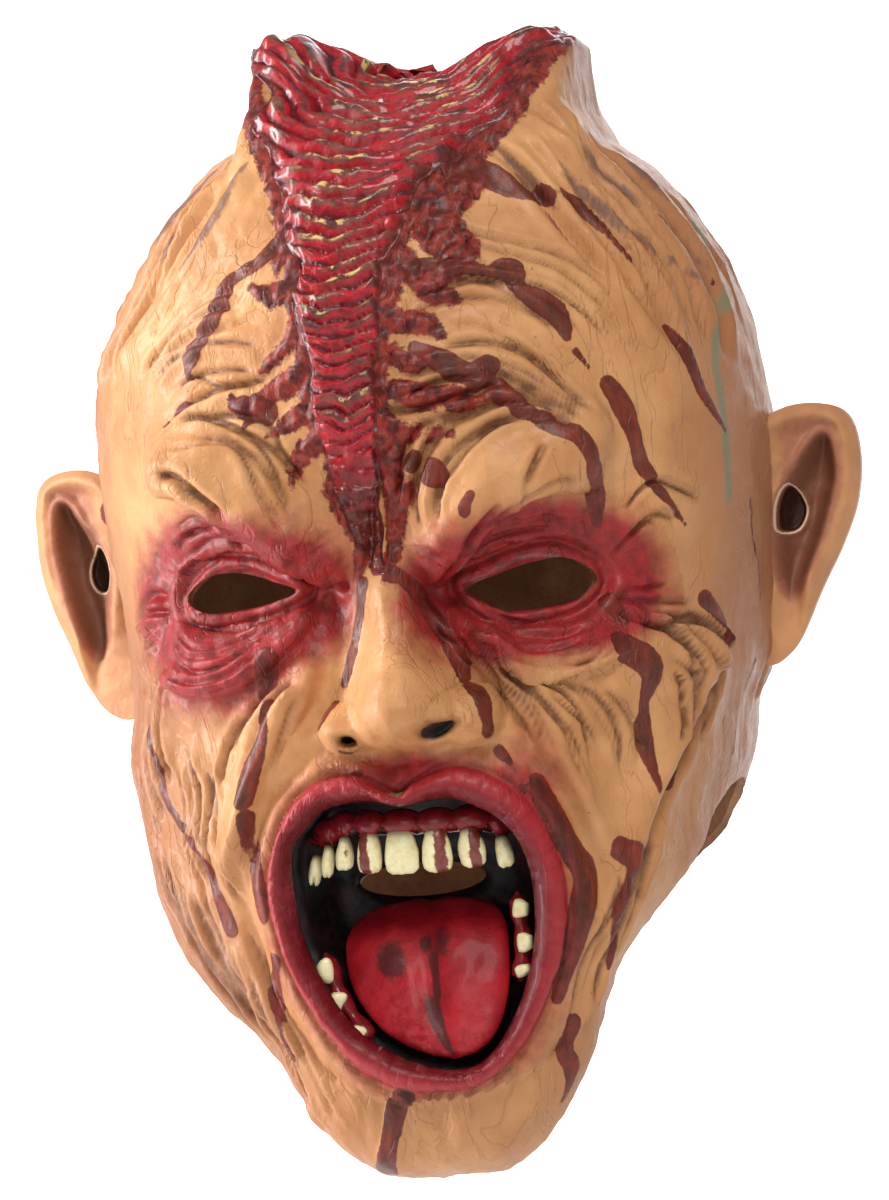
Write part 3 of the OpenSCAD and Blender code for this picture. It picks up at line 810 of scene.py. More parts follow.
# ---------------------------------------------------------------- shaders
class Shader:
    """A material made of a few kinds of node."""

    def __init__(self, name, roughness=0.4, coat=0.0, coat_roughness=0.2, specular=0.5):
        self.material = bpy.data.materials.new(name)
        self.material.use_nodes = True
        self.tree = self.material.node_tree
        self.surface = self.tree.nodes["Principled BSDF"]
        self.surface.inputs["Roughness"].default_value = roughness
        self.surface.inputs["Coat Weight"].default_value = coat
        self.surface.inputs["Coat Roughness"].default_value = coat_roughness
        self.surface.inputs["Specular IOR Level"].default_value = specular
        self.places = self.node("ShaderNodeTexCoord").outputs["Object"]

    def node(self, kind, **settings):
        made = self.tree.nodes.new(kind)
        for key, value in settings.items():
            setattr(made, key, value)
        return made

    def put(self, socket, value):
        if isinstance(value, bpy.types.NodeSocket):
            self.tree.links.new(value, socket)
        elif isinstance(value, (tuple, list)):
            socket.default_value = tuple(value) + (1.0,) * (len(socket.default_value) - len(value))
        else:
            socket.default_value = value

    def attribute(self, name):
        return self.node("ShaderNodeAttribute", attribute_name=name).outputs["Fac"]

    def noise(self, size, detail=4.0, rough=0.55, warp=0.0, stretch=(1, 1, 1)):
        """Noise with lumps of that many millimetres."""
        places = self.places
        if stretch != (1, 1, 1):
            mapping = self.node("ShaderNodeMapping")
            mapping.inputs["Scale"].default_value = stretch
            self.put(mapping.inputs["Vector"], places)
            places = mapping.outputs["Vector"]
        made = self.node("ShaderNodeTexNoise")
        self.put(made.inputs["Vector"], places)
        made.inputs["Scale"].default_value = 1 / (size * MM)
        made.inputs["Detail"].default_value = detail
        made.inputs["Roughness"].default_value = rough
        made.inputs["Distortion"].default_value = warp
        return made.outputs["Fac"]

    def sum(self, a, b, operation="ADD"):
        made = self.node("ShaderNodeMath", operation=operation)
        self.put(made.inputs[0], a)
        self.put(made.inputs[1], b)
        return made.outputs[0]

    def magnitude(self, a):
        made = self.node("ShaderNodeMath", operation="ABSOLUTE")
        self.put(made.inputs[0], a)
        return made.outputs[0]

    def times(self, a, b):
        return self.sum(a, b, "MULTIPLY")

    def centred(self, noise):
        """Noise moved to lie about zero."""
        return self.sum(noise, 0.5, "SUBTRACT")

    def step(self, value, low, high, to=(0.0, 1.0)):
        made = self.node("ShaderNodeMapRange", interpolation_type="SMOOTHSTEP")
        self.put(made.inputs["Value"], value)
        made.inputs["From Min"].default_value = low
        made.inputs["From Max"].default_value = high
        made.inputs["To Min"].default_value = to[0]
        made.inputs["To Max"].default_value = to[1]
        return made.outputs["Result"]

    def mix(self, share, a, b, blend="MIX"):
        made = self.node("ShaderNodeMix", data_type="RGBA", blend_type=blend, clamp_factor=True)
        self.put(made.inputs[0], share)
        self.put(made.inputs[6], a)
        self.put(made.inputs[7], b)
        return made.outputs[2]

    def finish(self, colour, roughness=None, height=None, bump=0.3, depth=0.4):
        self.put(self.surface.inputs["Base Color"], colour)
        if roughness is not None:
            self.put(self.surface.inputs["Roughness"], roughness)
        if height is not None:
            made = self.node("ShaderNodeBump")
            made.inputs["Strength"].default_value = bump
            made.inputs["Distance"].default_value = depth * MM
            self.put(made.inputs["Height"], height)
            self.put(self.surface.inputs["Normal"], made.outputs["Normal"])
        return self.material


TAN = (0.50, 0.225, 0.085)
TAN_PALE = (0.62, 0.31, 0.125)
TAN_DEEP = (0.33, 0.125, 0.05)
# dark brown for crease paint with its painted shade, and for the speckles
WASH_AND_SHADE = (0.12, 0.040, 0.016)
BLOOD = (0.15, 0.016, 0.010)
BLOOD_DARK = (0.07, 0.008, 0.006)
CRIMSON = (0.33, 0.008, 0.017)
CRIMSON_DARK = (0.14, 0.005, 0.009)
INK = (0.009, 0.006, 0.006)


def skin_shader():
    s = Shader("painted_latex", coat=0.08, coat_roughness=0.16, specular=0.26)
    broad = s.noise(26, 3)
    fine = s.noise(5, 6, 0.65)
    grain = s.noise(1.1, 5, 0.7)
    brushed = s.noise(9, 6, 0.7, 0.4, (1, 1, 0.35))
    colour = s.mix(s.step(broad, 0.35, 0.68), TAN, TAN_PALE)
    lines = s.centred(s.noise(15, 3, 0.5, 0.9, (1.5, 1.5, 0.55)))
    lines = s.step(s.magnitude(lines), 0.036, 0.0)
    lines = s.times(lines, s.step(s.noise(30, 2), 0.42, 0.6))
    colour = s.mix(s.times(lines, 0.12), colour, TAN_DEEP)
    # painted shade: darker on the sides, the jaw and the right cheek
    colour = s.mix(s.step(s.attribute("shade"), 0.0, 1.0), colour, TAN_DEEP)
    colour = s.mix(s.times(s.step(brushed, 0.48, 0.8), 0.30), colour, TAN_DEEP)
    # dark paint together with painted shade in the creases, round the nose wings and in the nostrils
    washed_and_shaded = s.times(s.step(s.attribute("wash_and_shade"), 0.12, 1.0), s.step(fine, 0.30, 0.62, (0.35, 1.0)))
    colour = s.mix(s.times(washed_and_shaded, 0.85), colour, WASH_AND_SHADE)
    specks = s.times(s.step(s.noise(1.6, 3, 0.6), 0.64, 0.72), s.step(s.noise(14, 3), 0.5, 0.66))
    colour = s.mix(s.times(specks, 0.55), colour, WASH_AND_SHADE)
    ruddy = s.sum(s.attribute("ruddy"), s.times(s.centred(s.noise(6, 5, 0.6)), 0.45))
    ruddy_colour = s.mix(s.step(fine, 0.35, 0.7), CRIMSON, CRIMSON_DARK)
    colour = s.mix(s.times(s.step(ruddy, 0.06, 0.62), 0.95), colour, ruddy_colour)
    colour = s.mix(s.times(s.step(s.attribute("vein"), 1.6, -1.2), 0.8), colour, (0.17, 0.19, 0.11))
    wobble = s.times(s.centred(s.noise(3.5, 5, 0.65)), 3.0)
    streak = s.step(s.sum(s.attribute("streaks"), wobble), 0.9, -0.9)
    colour = s.mix(s.times(streak, 0.75), colour, (0.12, 0.06, 0.055))
    lip = s.step(s.sum(s.attribute("lip"), s.times(wobble, 0.25)), 0.3, -0.5)
    lip_colour = s.mix(s.step(s.attribute("lip_share"), 0.10, 0.65), CRIMSON_DARK, (0.33, 0.018, 0.024))
    lip_colour = s.mix(s.times(s.step(fine, 0.45, 0.75), 0.4), lip_colour, (0.34, 0.05, 0.045))
    lip_colour = s.mix(s.times(s.step(s.attribute("lip_groove"), 0.35, 1.5), 0.35), lip_colour, CRIMSON_DARK)
    colour = s.mix(lip, colour, lip_colour)
    # black paint round the mouth, and painted shade in the nostril pits
    colour = s.mix(s.step(s.sum(s.attribute("black"), s.times(wobble, 0.08)), 0.3, 0.7), colour, INK)
    gore_edge = s.sum(s.attribute("gore"), s.times(s.centred(s.noise(6, 6, 0.75)), 9.0))
    gore_on = s.step(gore_edge, 0.5, -0.6)
    gore_colour = s.mix(s.step(s.noise(4, 5, 0.7), 0.38, 0.62), BLOOD_DARK, (0.27, 0.03, 0.018))
    blood_edge = s.sum(s.attribute("blood"), s.times(wobble, 0.5))
    blood_on = s.step(blood_edge, 0.25, -0.15)
    thick = s.step(blood_edge, -0.3, -2.2)
    bright = s.mix(s.step(fine, 0.4, 0.62), BLOOD, (0.22, 0.024, 0.014))
    thin = s.mix(s.step(fine, 0.35, 0.6), (0.075, 0.009, 0.006), BLOOD)
    blood_colour = s.mix(s.step(brushed, 0.38, 0.62), (0.055, 0.008, 0.005), bright)
    blood_colour = s.mix(thick, thin, blood_colour)
    colour = s.mix(gore_on, colour, gore_colour)
    colour = s.mix(s.times(blood_on, 0.95), colour, blood_colour)
    wet = s.sum(blood_on, gore_on, "MAXIMUM")
    wet = s.sum(wet, s.times(lip, 0.6), "MAXIMUM")
    roughness = s.sum(s.step(fine, 0.3, 0.7, (0.36, 0.5)), s.times(wet, -0.08))
    height = s.sum(s.times(grain, 0.35), s.times(fine, 0.7))
    height = s.sum(height, s.times(brushed, 0.5))
    height = s.sum(height, s.times(wet, 0.25))
    height = s.sum(height, s.times(lines, -0.55))
    return s.finish(colour, roughness, height, 0.6, 1.0)


def lining_shader():
    s = Shader("bare_latex", roughness=0.7, specular=0.15)
    colour = s.mix(s.step(s.noise(18, 5), 0.35, 0.7), (0.16, 0.065, 0.028), (0.24, 0.11, 0.05))
    colour = s.mix(s.times(s.step(s.noise(3, 5, 0.7), 0.5, 0.75), 0.5), colour, (0.09, 0.035, 0.016))
    return s.finish(colour, s.step(s.noise(6), 0.3, 0.7, (0.5, 0.7)), s.noise(2.5, 6, 0.7), 0.5, 0.6)


def flesh_shader():
    s = Shader("wet_flesh", coat=0.35, coat_roughness=0.07, specular=0.25)
    fine = s.noise(3, 6, 0.7)
    ridge = s.attribute("ridge")
    colour = s.mix(s.step(fine, 0.35, 0.65), (0.24, 0.005, 0.010), (0.46, 0.010, 0.018))
    brown = s.mix(s.step(s.noise(5, 5), 0.4, 0.6), (0.20, 0.055, 0.035), (0.085, 0.022, 0.017))
    uneven = s.times(s.centred(s.noise(7, 4)), 0.9)
    colour = s.mix(s.step(s.sum(ridge, uneven), 0.60, 0.88), colour, brown)
    cream = s.times(
        s.step(s.sum(ridge, s.times(uneven, 0.4)), 0.84, 0.95), s.step(s.noise(6, 4, 0.7), 0.49, 0.54)
    )
    cream = s.times(cream, s.attribute("cream"))
    colour = s.mix(cream, colour, (0.64, 0.44, 0.17))
    # painted shade: near black in the grooves between the ribs
    colour = s.mix(s.step(ridge, 0.42, 0.05), colour, (0.045, 0.003, 0.004))
    dark = s.step(s.sum(s.attribute("dark"), uneven), 0.35, 0.9)
    colour = s.mix(dark, colour, s.mix(s.step(fine, 0.4, 0.65), BLOOD_DARK, (0.15, 0.02, 0.014)))
    height = s.sum(s.times(fine, 0.8), s.times(s.noise(1.2, 4, 0.7), 0.3))
    return s.finish(colour, s.step(fine, 0.3, 0.75, (0.16, 0.4)), height, 0.6, 0.9)


def ear_shader():
    s = Shader("painted_latex_ear", coat=0.0, specular=0.28)
    broad = s.noise(12, 4)
    fine = s.noise(3.5, 6, 0.65)
    colour = s.mix(s.step(broad, 0.35, 0.68), (0.46, 0.205, 0.09), (0.55, 0.26, 0.11))
    inner = s.sum(s.attribute("hollow"), s.times(s.centred(fine), 0.5))
    colour = s.mix(s.step(inner, 0.1, 0.6), colour, (0.34, 0.125, 0.07))
    colour = s.mix(s.step(inner, 0.55, 1.2), colour, (0.20, 0.075, 0.04))
    # painted shade: the closed hearing pit is near black, standing for the dark inside of the head seen
    # through the hole
    colour = s.mix(s.step(inner, 1.7, 2.6), colour, (0.028, 0.009, 0.004))
    colour = s.mix(s.step(s.attribute("cut"), 0.6, 0.9), colour, (0.72, 0.52, 0.36))
    specks = s.times(s.step(s.noise(1.3, 3, 0.6), 0.60, 0.70), s.step(inner, 0.3, 0.8))
    colour = s.mix(s.times(specks, 0.6), colour, WASH_AND_SHADE)
    colour = s.mix(s.step(s.sum(s.attribute("blood"), s.times(fine, 2.4)), 1.5, 1.0), colour, BLOOD)
    height = s.sum(fine, s.times(s.noise(1.1, 5, 0.7), 0.4))
    return s.finish(colour, s.step(fine, 0.3, 0.7, (0.4, 0.54)), height, 0.5, 0.7)


def liner_shader():
    s = Shader("black_latex", coat=0.05, coat_roughness=0.2, specular=0.2)
    fine = s.noise(4, 6, 0.7)
    colour = s.mix(s.step(fine, 0.45, 0.75), INK, (0.035, 0.018, 0.016))
    colour = s.mix(s.times(s.step(s.noise(16, 3), 0.5, 0.7), 0.6), colour, (0.05, 0.006, 0.007))
    return s.finish(colour, s.step(fine, 0.3, 0.7, (0.26, 0.5)), fine, 0.5, 0.9)


def gum_shader():
    s = Shader("wet_gum", coat=0.25, coat_roughness=0.08, specular=0.25)
    fine = s.noise(2.5, 5, 0.6)
    colour = s.mix(s.step(fine, 0.35, 0.7), (0.24, 0.01, 0.014), (0.12, 0.006, 0.009))
    colour = s.mix(s.step(s.attribute("root"), 0.35, 0.8), colour, INK)
    return s.finish(colour, 0.22, fine, 0.35, 0.5)


def tooth_shader():
    s = Shader("yellow_tooth", coat=0.2, coat_roughness=0.2)
    fine = s.noise(2.2, 5, 0.6)
    colour = s.mix(s.step(fine, 0.4, 0.7), (0.86, 0.78, 0.46), (0.76, 0.63, 0.29))
    colour = s.mix(s.step(s.attribute("root"), 0.75, 1.0), colour, (0.10, 0.035, 0.02))
    stained = s.step(s.sum(s.attribute("stain"), s.times(s.centred(fine), 0.9)), 0.45, 0.62)
    colour = s.mix(stained, colour, s.mix(s.step(fine, 0.42, 0.6), BLOOD, (0.20, 0.04, 0.025)))
    return s.finish(colour, s.step(fine, 0.3, 0.7, (0.3, 0.42)), fine, 0.3, 0.3)


def tongue_shader():
    s = Shader("wet_tongue", coat=0.06, coat_roughness=0.14, specular=0.2)
    fine = s.noise(2.6, 6, 0.7)
    broad = s.noise(14, 3)
    colour = s.mix(s.step(broad, 0.35, 0.7), (0.24, 0.005, 0.010), (0.42, 0.012, 0.020))
    # painted highlight: lighter red on top of the lobes towards the tip
    colour = s.mix(
        s.times(s.step(s.attribute("high"), 0.35, 0.95), s.step(fine, 0.35, 0.65)), colour,
        (0.42, 0.03, 0.034)
    )
    # painted shade in the middle groove, the crease and at the root, with two dark blots
    dark = s.sum(s.attribute("dark"), s.times(s.centred(fine), 0.7))
    colour = s.mix(s.times(s.step(dark, 0.35, 0.75), 0.9), colour, (0.06, 0.010, 0.010))
    height = s.sum(fine, s.times(s.noise(1.0, 4, 0.7), 0.5))
    return s.finish(colour, s.step(fine, 0.3, 0.7, (0.32, 0.5)), height, 0.5, 0.7)


def build(name, points, faces, materials, body, nodes, attributes=None, flags=None):
    """One smooth-shaded piece that stands for CAD nodes and rides on their body."""
    mesh = bpy.data.meshes.new(name)
    mesh.from_pydata((np.asarray(points, float) * MM).tolist(), [], [list(map(int, f)) for f in faces])
    for material in materials:
        mesh.materials.append(material)
    for key, values in (attributes or {}).items():
        layer = mesh.attributes.new(key, "FLOAT", "POINT")
        layer.data.foreach_set("value", np.asarray(values, np.float32))
    if flags is not None:
        mesh.polygons.foreach_set("material_index", np.asarray(flags, np.int32))
    mesh.polygons.foreach_set("use_smooth", np.ones(len(mesh.polygons), bool))
    mesh.update()
    obj = bpy.data.objects.new(name, mesh)
    bpy.context.scene.collection.objects.link(obj)
    if body:
        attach(obj, body)
    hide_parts(*nodes)
    return obj


def spread(values, fill=0.0):
    """Values for the outside of the skin, carried on to its other points."""
    inner = np.full(count + 2, fill)
    inner[-2] = values[top].mean()
    return np.concatenate([values, inner] + [values[rim]] * len(rolls))


def glow(distance, reach):
    """1 inside an edge, dying away over about that many millimetres outside it."""
    return np.exp(-((np.maximum(distance, 0) / reach) ** 2))


# red paint round the eyes, the mouth and the cheeks; painted shade on the sides, jaw and right cheek
ruddy = 1.25 * glow(right_lid, 18) * smooth(26, 20, R) * smooth(-9, -1, R - 0.15 * T)
ruddy = np.maximum(ruddy, 1.2 * glow(left_lid, 17) * smooth(22, 17, R) * smooth(-13, -4, R))
under_eye, under_nose, cheek = hump(
    T, R, (-30, -8), (14, 6)
), hump(T, R, (1, -22), (7, 3)), hump(T, R, (22, -22), (6, 8))
ruddy += 0.36 * glow(lip_edge, 7) + 0.45 * under_eye + 0.5 * under_nose + 0.35 * cheek
shade = 0.8 * smooth(35, 80, np.abs(T)) + 0.45 * smooth(-25, -60, R)
shade += 0.55 * smooth(-18, -40, T) * smooth(12, -8, R) * smooth(-110, -80, T)
wash_and_shade += 0.55 * glow(right_lid, 3) + 0.55 * glow(left_lid, 3)
groove = np.where(on_lip, np.clip(-lip_creases, 0, 2), 0)
# black paint at the mouth's edge and behind the lips; in the nostril pits the black is painted shade for the
# dark of the holes
black_face = smooth(1.4, 0.0, mouth_gap) * 0.45 + 1.1 * smooth(0.35, 0.8, pits)
black_rolls = [np.full(len(rim), darkness) for darkness in (0.5, 0.8, 1, 1)]
black = np.concatenate([black_face, np.zeros(count + 2)] + black_rolls)

skin_piece = build(
    "mask_skin",
    points,
    faces,
    [skin_shader(), lining_shader()],
    "root",
    ["head_skin"],
    {
        "wash_and_shade": spread(wash_and_shade),
        "blood": spread(blood, 12),
        "gore": spread(gore, 12),
        "vein": spread(vein, 12),
        "streaks": spread(streaks, 12),
        "ruddy": spread(ruddy),
        "shade": spread(shade),
        "lip": spread(lip_edge, 99),
        "lip_share": spread(lip_share),
        "lip_groove": spread(groove),
        "black": black,
    },
    inner_flags,
)

# ---------------------------------------------------------------- the split in the crown
WOUND_ROWS = 380
WOUND_COLUMNS = 110
upright = sculpted + np.stack([moved, 0 * moved, 0 * moved], axis=1)
reach_grid = np.linalg.norm(upright - CENTRE, axis=1).reshape(ROWS + 1, COLUMNS)
moved_grid = moved.reshape(ROWS + 1, COLUMNS)


def on_grid(grid, turn, rise):
    """A value of the head's grid in any direction."""
    column = np.interp(turn, np.append(turns, 180), np.arange(COLUMNS + 1))
    hem = table(np.abs(turn), HEM)
    row = np.clip((rise - hem) / (TOP_RISE - hem) * ROWS, 0, ROWS - 0.001)
    i, j = np.floor(column).astype(int), np.floor(row).astype(int)
    a, b = column - i, row - j
    i0, i1 = i % COLUMNS, (i + 1) % COLUMNS
    low = grid[j, i0] * (1 - a) + grid[j, i1] * a
    high = grid[j + 1, i0] * (1 - a) + grid[j + 1, i1] * a
    return low * (1 - b) + high * b


down = np.repeat(np.linspace(WOUND_START, WOUND_END, WOUND_ROWS), WOUND_COLUMNS)
across = np.tile(np.linspace(-1, 1, WOUND_COLUMNS), WOUND_ROWS)
# the two edges are torn apart from each other: their noise is taken from places 40 mm apart
torn = 0.10 * waves(np.stack([across * 3, down * ALONG, np.where(across > 0, 40.0, 0.0)], axis=1), 16, 70)
wx = table(down, WOUND, 1) + across * table(down, WOUND, 2) * (1 + torn)
d = np.stack([wx / CROWN_REACH, -np.sin(np.radians(down)), np.cos(np.radians(down))], axis=1)
d /= np.linalg.norm(d, axis=1)[:, None]
wound_turn = np.degrees(np.arctan2(d[:, 0], -d[:, 1]))
wound_rise = np.degrees(np.arcsin(d[:, 2]))
wound_floor = CENTRE + on_grid(reach_grid, wound_turn, wound_rise)[:, None] * d
wound_floor[:, 0] -= on_grid(moved_grid, wound_turn, wound_rise)
sag = table(down, [(-18, 34), (5, 32), (20, 24), (30, 11), (40, 6), (60, 3.5)]) * (1 - across**2)
warp = 1.8 * waves(wound_floor, 24, 71) + 0.9 * waves(wound_floor, 9, 72)
# ribs that hang in the middle: phase counts them down the split, spacing is the millimetres between them
marks = np.linspace(-30, 90, 400)
spacing = table(marks, [(-18, 9), (5, 9.5), (20, 9.5), (30, 7.5), (40, 5.6), (60, 5.2), (81, 5)])
turned = np.concatenate([[0], np.cumsum(np.diff(marks) / spacing[1:])]) * CROWN_REACH * math.pi / 180
phase = np.interp(down - (sag - warp) / ALONG, marks, turned)
rib = np.abs(np.sin(np.pi * phase)) * np.clip(0.86 + 0.3 * waves(wound_floor, 15, 75), 0.3, 1)
strand = np.abs(np.sin(np.pi * (phase * 2 + 0.35 + 0.5 * waves(wound_floor, 12, 73))))
edge_fade = smooth(1, 0.8, np.abs(across))
upper = smooth(68, 56, down)
ribs = (
    0.1 + 4.2 * rib**0.8 * table(down, [(0, 1.15), (25, 1.1), (40, 0.8)]) + 0.5 * strand
) * (0.3 + 0.7 * upper)
ribs += (1 - upper) * (1.0 + 1.2 * waves(wound_floor, 6, 74))
wound_lift = 0.2 + edge_fade * np.clip(ribs, 0.1, 5)
wound_lift *= smooth(WOUND_START, -12, down) * smooth(WOUND_END, 74, down)
wound_points = wound_floor + (wound_lift + 0.15)[:, None] * d
wound_under = wound_floor - 0.6 * d
wound_top = open_cells(WOUND_ROWS, WOUND_COLUMNS)[:, [0, 3, 2, 1]]
n_wound = len(wound_points)
walls = [(b, a, n_wound + a, n_wound + b) for a, b in border_of(wound_top, n_wound)]


def twice(values):
    return np.concatenate([values, values])


build(
    "crown_split",
    np.vstack([wound_points, wound_under]),
    wound_top.tolist() + (wound_top[:, ::-1] + n_wound).tolist() + walls,
    [flesh_shader()],
    "root",
    ["crest_wound"],
    {
        "ridge": twice(rib * upper + (1 - upper) * 0.3),
        "cream": twice(smooth(0.85, 0.45, np.abs(across)) * smooth(70, 60, down)),
        "dark": twice(smooth(0.72, 1.0, np.abs(across)) * 0.8 + 0.8 * smooth(58, 72, down)),
    },
)


# ---------------------------------------------------------------- ears
EAR = [
    (94, 206), (104, 214), (115, 215), (123, 211), (125.5, 200), (124, 186), (119, 173), (112, 160),
    (106, 148)
]
EAR += [(101, 141), (94, 138), (88, 150), (88, 180)]
EAR_HOLE = [(100.5, 178), (101, 186), (104.5, 191), (108, 184), (105.5, 178)]
EAR_BOWL = [
    (100, 189), (106, 197), (113, 206), (118, 205), (119, 194), (116, 182), (110, 167), (103, 156), (98, 162)
]
EAR_BOWL += [(97, 178)]
EAR_COLUMNS = 90
EAR_ROWS = 150


def ear(node, side, shift, stretch, droop=0.0):
    """One ear: a leaf in x and z with a rolled rim, a bowl, a ridge round it and a pit as its hearing hole.

    Shift and stretch place it in x, and droop leans its lobe outwards.
    """
    low, _ = box(node)
    columns, rows = np.meshgrid(np.linspace(84, 128, EAR_COLUMNS), np.linspace(135, 217, EAR_ROWS))
    flat = np.stack([columns.ravel(), rows.ravel()], axis=1)
    gap, foot = outline_distance(flat, ring(EAR, 5))
    hole, _ = outline_distance(flat, ring(EAR_HOLE, 4))
    cells = open_cells(EAR_ROWS, EAR_COLUMNS)
    out = gap > 0
    used = cells[out[cells].sum(1) < 4]
    move = np.zeros(len(flat), bool)
    move[used.ravel()] = True
    move &= out
    flat[move] = foot[move]
    depth = np.maximum(-gap, 0)
    ex, ez = flat[:, 0], flat[:, 1]
    swept = 0.58 * (ex - 104)
    helix = 5.0 * np.exp(-(((depth - 3.0) / 3.0) ** 2)) * smooth(100, 108, ex + 0.12 * (ez - 170))
    root_roll = 6.0 * np.exp(-(((ez - (206 - 0.9 * (ex - 96) * 0.4)) / 9) ** 2)) * smooth(112, 96, ex)
    inner_line, _ = outline_distance(flat, ring(EAR_BOWL, 4))
    antihelix = 3.0 * np.exp(-(((inner_line + 0.5) / 2.0) ** 2)) * smooth(104, 110, ex)
    bowl = 7.0 * smooth(0.5, -7, inner_line)
    front_y = low[1] + 8.5 + swept - helix - root_roll - antihelix + bowl
    tragus = 5.0 * np.exp(-(((ex - 98) / 4.5) ** 2) - ((ez - 172) / 9) ** 2)
    front_y -= tragus
    front_y += 0.25 * waves(np.stack([ex, ez, ez * 0], 1), 7, 81)
    back_y = low[1] + 12.5 + swept - 0.6 * helix + 0.85 * bowl - 0.5 * root_roll + 2.5 * smooth(110, 92, ex)
    back_y = np.maximum(back_y, front_y + 1.6)
    pit = smooth(0.4, -1.0, hole)
    front_y += pit * (back_y - front_y - 0.8)
    front_y -= 0.9 * np.exp(-(((hole - 1.2) / 0.9) ** 2))
    size = len(flat)
    both = np.concatenate([np.stack([ex, front_y, ez], 1), np.stack([ex, back_y, ez], 1)])
    both[:, 0] = shift + both[:, 0] * stretch
    both[:, 0] += droop * np.clip(195 - both[:, 2], 0, 45) * smooth(92, 106, both[:, 0])
    both[:, 0] *= side
    all_faces = used.tolist() + (used[:, ::-1] + size).tolist()
    all_faces += [(b, a, size + a, size + b) for a, b in border_of(used, size)]
    if side < 0:
        all_faces = [f[::-1] for f in all_faces]
    hollow = smooth(1.5, -4, inner_line) + 0.45 * smooth(2.5, 6, depth) * smooth(100, 106, ex) + 2.5 * pit
    hollow = np.concatenate([hollow, 0 * ex])
    cut_edge = np.concatenate([np.exp(-(((hole - 0.5) / 0.6) ** 2)), 0 * ex])
    blot = np.full(2 * size, 9.0)
    if side < 0:
        blot[:size] = np.hypot((ex - 99) / 0.8, (ez - 201) / 1.1) - 3.2
    used_points = np.unique(np.concatenate([np.ravel(f) for f in all_faces]))
    fresh = np.full(2 * size, -1)
    fresh[used_points] = np.arange(len(used_points))
    obj = build(
        node + "_shell",
        both[used_points],
        [[fresh[v] for v in f] for f in all_faces],
        [ear_shader()],
        None,
        [node],
        {"hollow": hollow[used_points], "blood": blot[used_points], "cut": cut_edge[used_points]},
    )
    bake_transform(obj)


ear("left_ear", 1, 0, 1)
ear("right_ear", -1, 2.0, 1.03, 0.11)

# ---------------------------------------------------------------- inside the mouth
SLOT = (-3.0, 85.0, 19.0, 5.0)  # the breathing slot: its middle in x and z, its half width and half height
LIP_JOIN = 1.02  # the share of the way out at which the cup meets the backs of the lips
lip_back = rolls[-1]
bearing = np.arctan2(lip_back[:, 2] - MOUTH_MIDDLE[1], lip_back[:, 0] - MOUTH_MIDDLE[0])
order = np.argsort(bearing)


def behind_lips(xz):
    """Points on the back edge of the lips, at the same bearings from the middle of the mouth."""
    at = np.arctan2(xz[:, 1] - MOUTH_MIDDLE[1], xz[:, 0] - MOUTH_MIDDLE[0])
    return np.stack(
        [np.interp(at, bearing[order], lip_back[order, k], period=2 * math.pi) for k in range(3)], axis=1
    )


def liner():
    """The black cup behind the lips, as two skins that join at the slot and at the lips."""
    steps = 160
    shares = [0.0, 0.15, 0.3, 0.45, 0.6, 0.72, 0.82, 0.9, 0.96, LIP_JOIN, 1.08]
    slot_x, slot_z, slot_w, slot_h = SLOT
    floor_y = box("mouth_liner")[1][1] - 4
    rings = []
    outline = ring(MOUTH, 8)
    pick = np.linspace(0, len(outline), steps, endpoint=False)
    i = pick.astype(int)
    t = (pick - i)[:, None]
    outer = outline[i] * (1 - t) + outline[(i + 1) % len(outline)] * t
    # the first ring is the slot's own edge, and the cup opens from it to the lips
    start = np.argmin(np.abs(np.arctan2(outer[:, 1] - slot_z, outer[:, 0] - slot_x)))
    outer = np.roll(outer, -start, axis=0)
    turning = np.unwrap(np.arctan2(outer[:, 1] - slot_z, outer[:, 0] - slot_x))
    hole = np.stack([slot_x + slot_w * np.cos(turning), slot_z + slot_h * np.sin(turning)], axis=1)
    for s in shares:
        xz = hole + (outer - hole) * min(s, 1.0)
        y = floor_y - 24 * min(s, 1.0) ** 3 + 0.006 * xz[:, 0] ** 2 * s
        if s > 1:
            back = behind_lips(outer)
            xz = MOUTH_MIDDLE + (back[:, [0, 2]] - MOUTH_MIDDLE) * (1 + (s - LIP_JOIN) * 0.6)
            y = back[:, 1] - 1.2 + 20 * (s - LIP_JOIN)
        wavy = 0.5 * waves(np.stack([xz[:, 0], y, xz[:, 1]], 1), 9, 91)
        rings.append(np.stack([xz[:, 0], y + wavy, xz[:, 1]], axis=1))
    frontal = np.vstack(rings)
    behind = frontal + np.array([0, 2.0, 0])
    n = len(frontal)
    cells = closed_cells(len(shares), steps)
    cup_faces = cells.tolist() + (cells[:, ::-1] + n).tolist()
    cup_faces += [(b, a, n + a, n + b) for a, b in border_of(cells, n)]
    build(
        "mouth_cup",
        np.vstack([frontal, behind]),
        cup_faces,
        [liner_shader()],
        "root",
        ["mouth_liner"],
    )


liner()


def arch_y(x):
    """How far forward the upper teeth stand."""
    return -97 + 0.0105 * x * x


def gum(node, centres, radii, depth, root, around):
    """A closed roll through the centres: radii are half heights, depth half depths in y, root its shade."""
    tangent = np.gradient(centres, axis=0)
    tangent[:, 1] = 0
    tangent /= np.linalg.norm(tangent, axis=1)[:, None]
    up = np.stack([-tangent[:, 2], 0 * tangent[:, 0], tangent[:, 0]], axis=1)
    angle = np.linspace(0, 2 * math.pi, around, endpoint=False)
    p = []
    for c, u, r, dep in zip(centres, up, radii, depth):
        p.append(c + np.outer(np.cos(angle) * r, u) + np.outer(np.sin(angle) * dep, np.array([0, 1.0, 0])))
    p = np.vstack(p + [centres[0], centres[-1]])
    root = np.append(np.repeat(root, around), [root[0], root[-1]])
    faces = capped_faces(len(centres), around)
    build(node + "_ridge", p, faces, [gum_material], "root", [node], {"root": root})


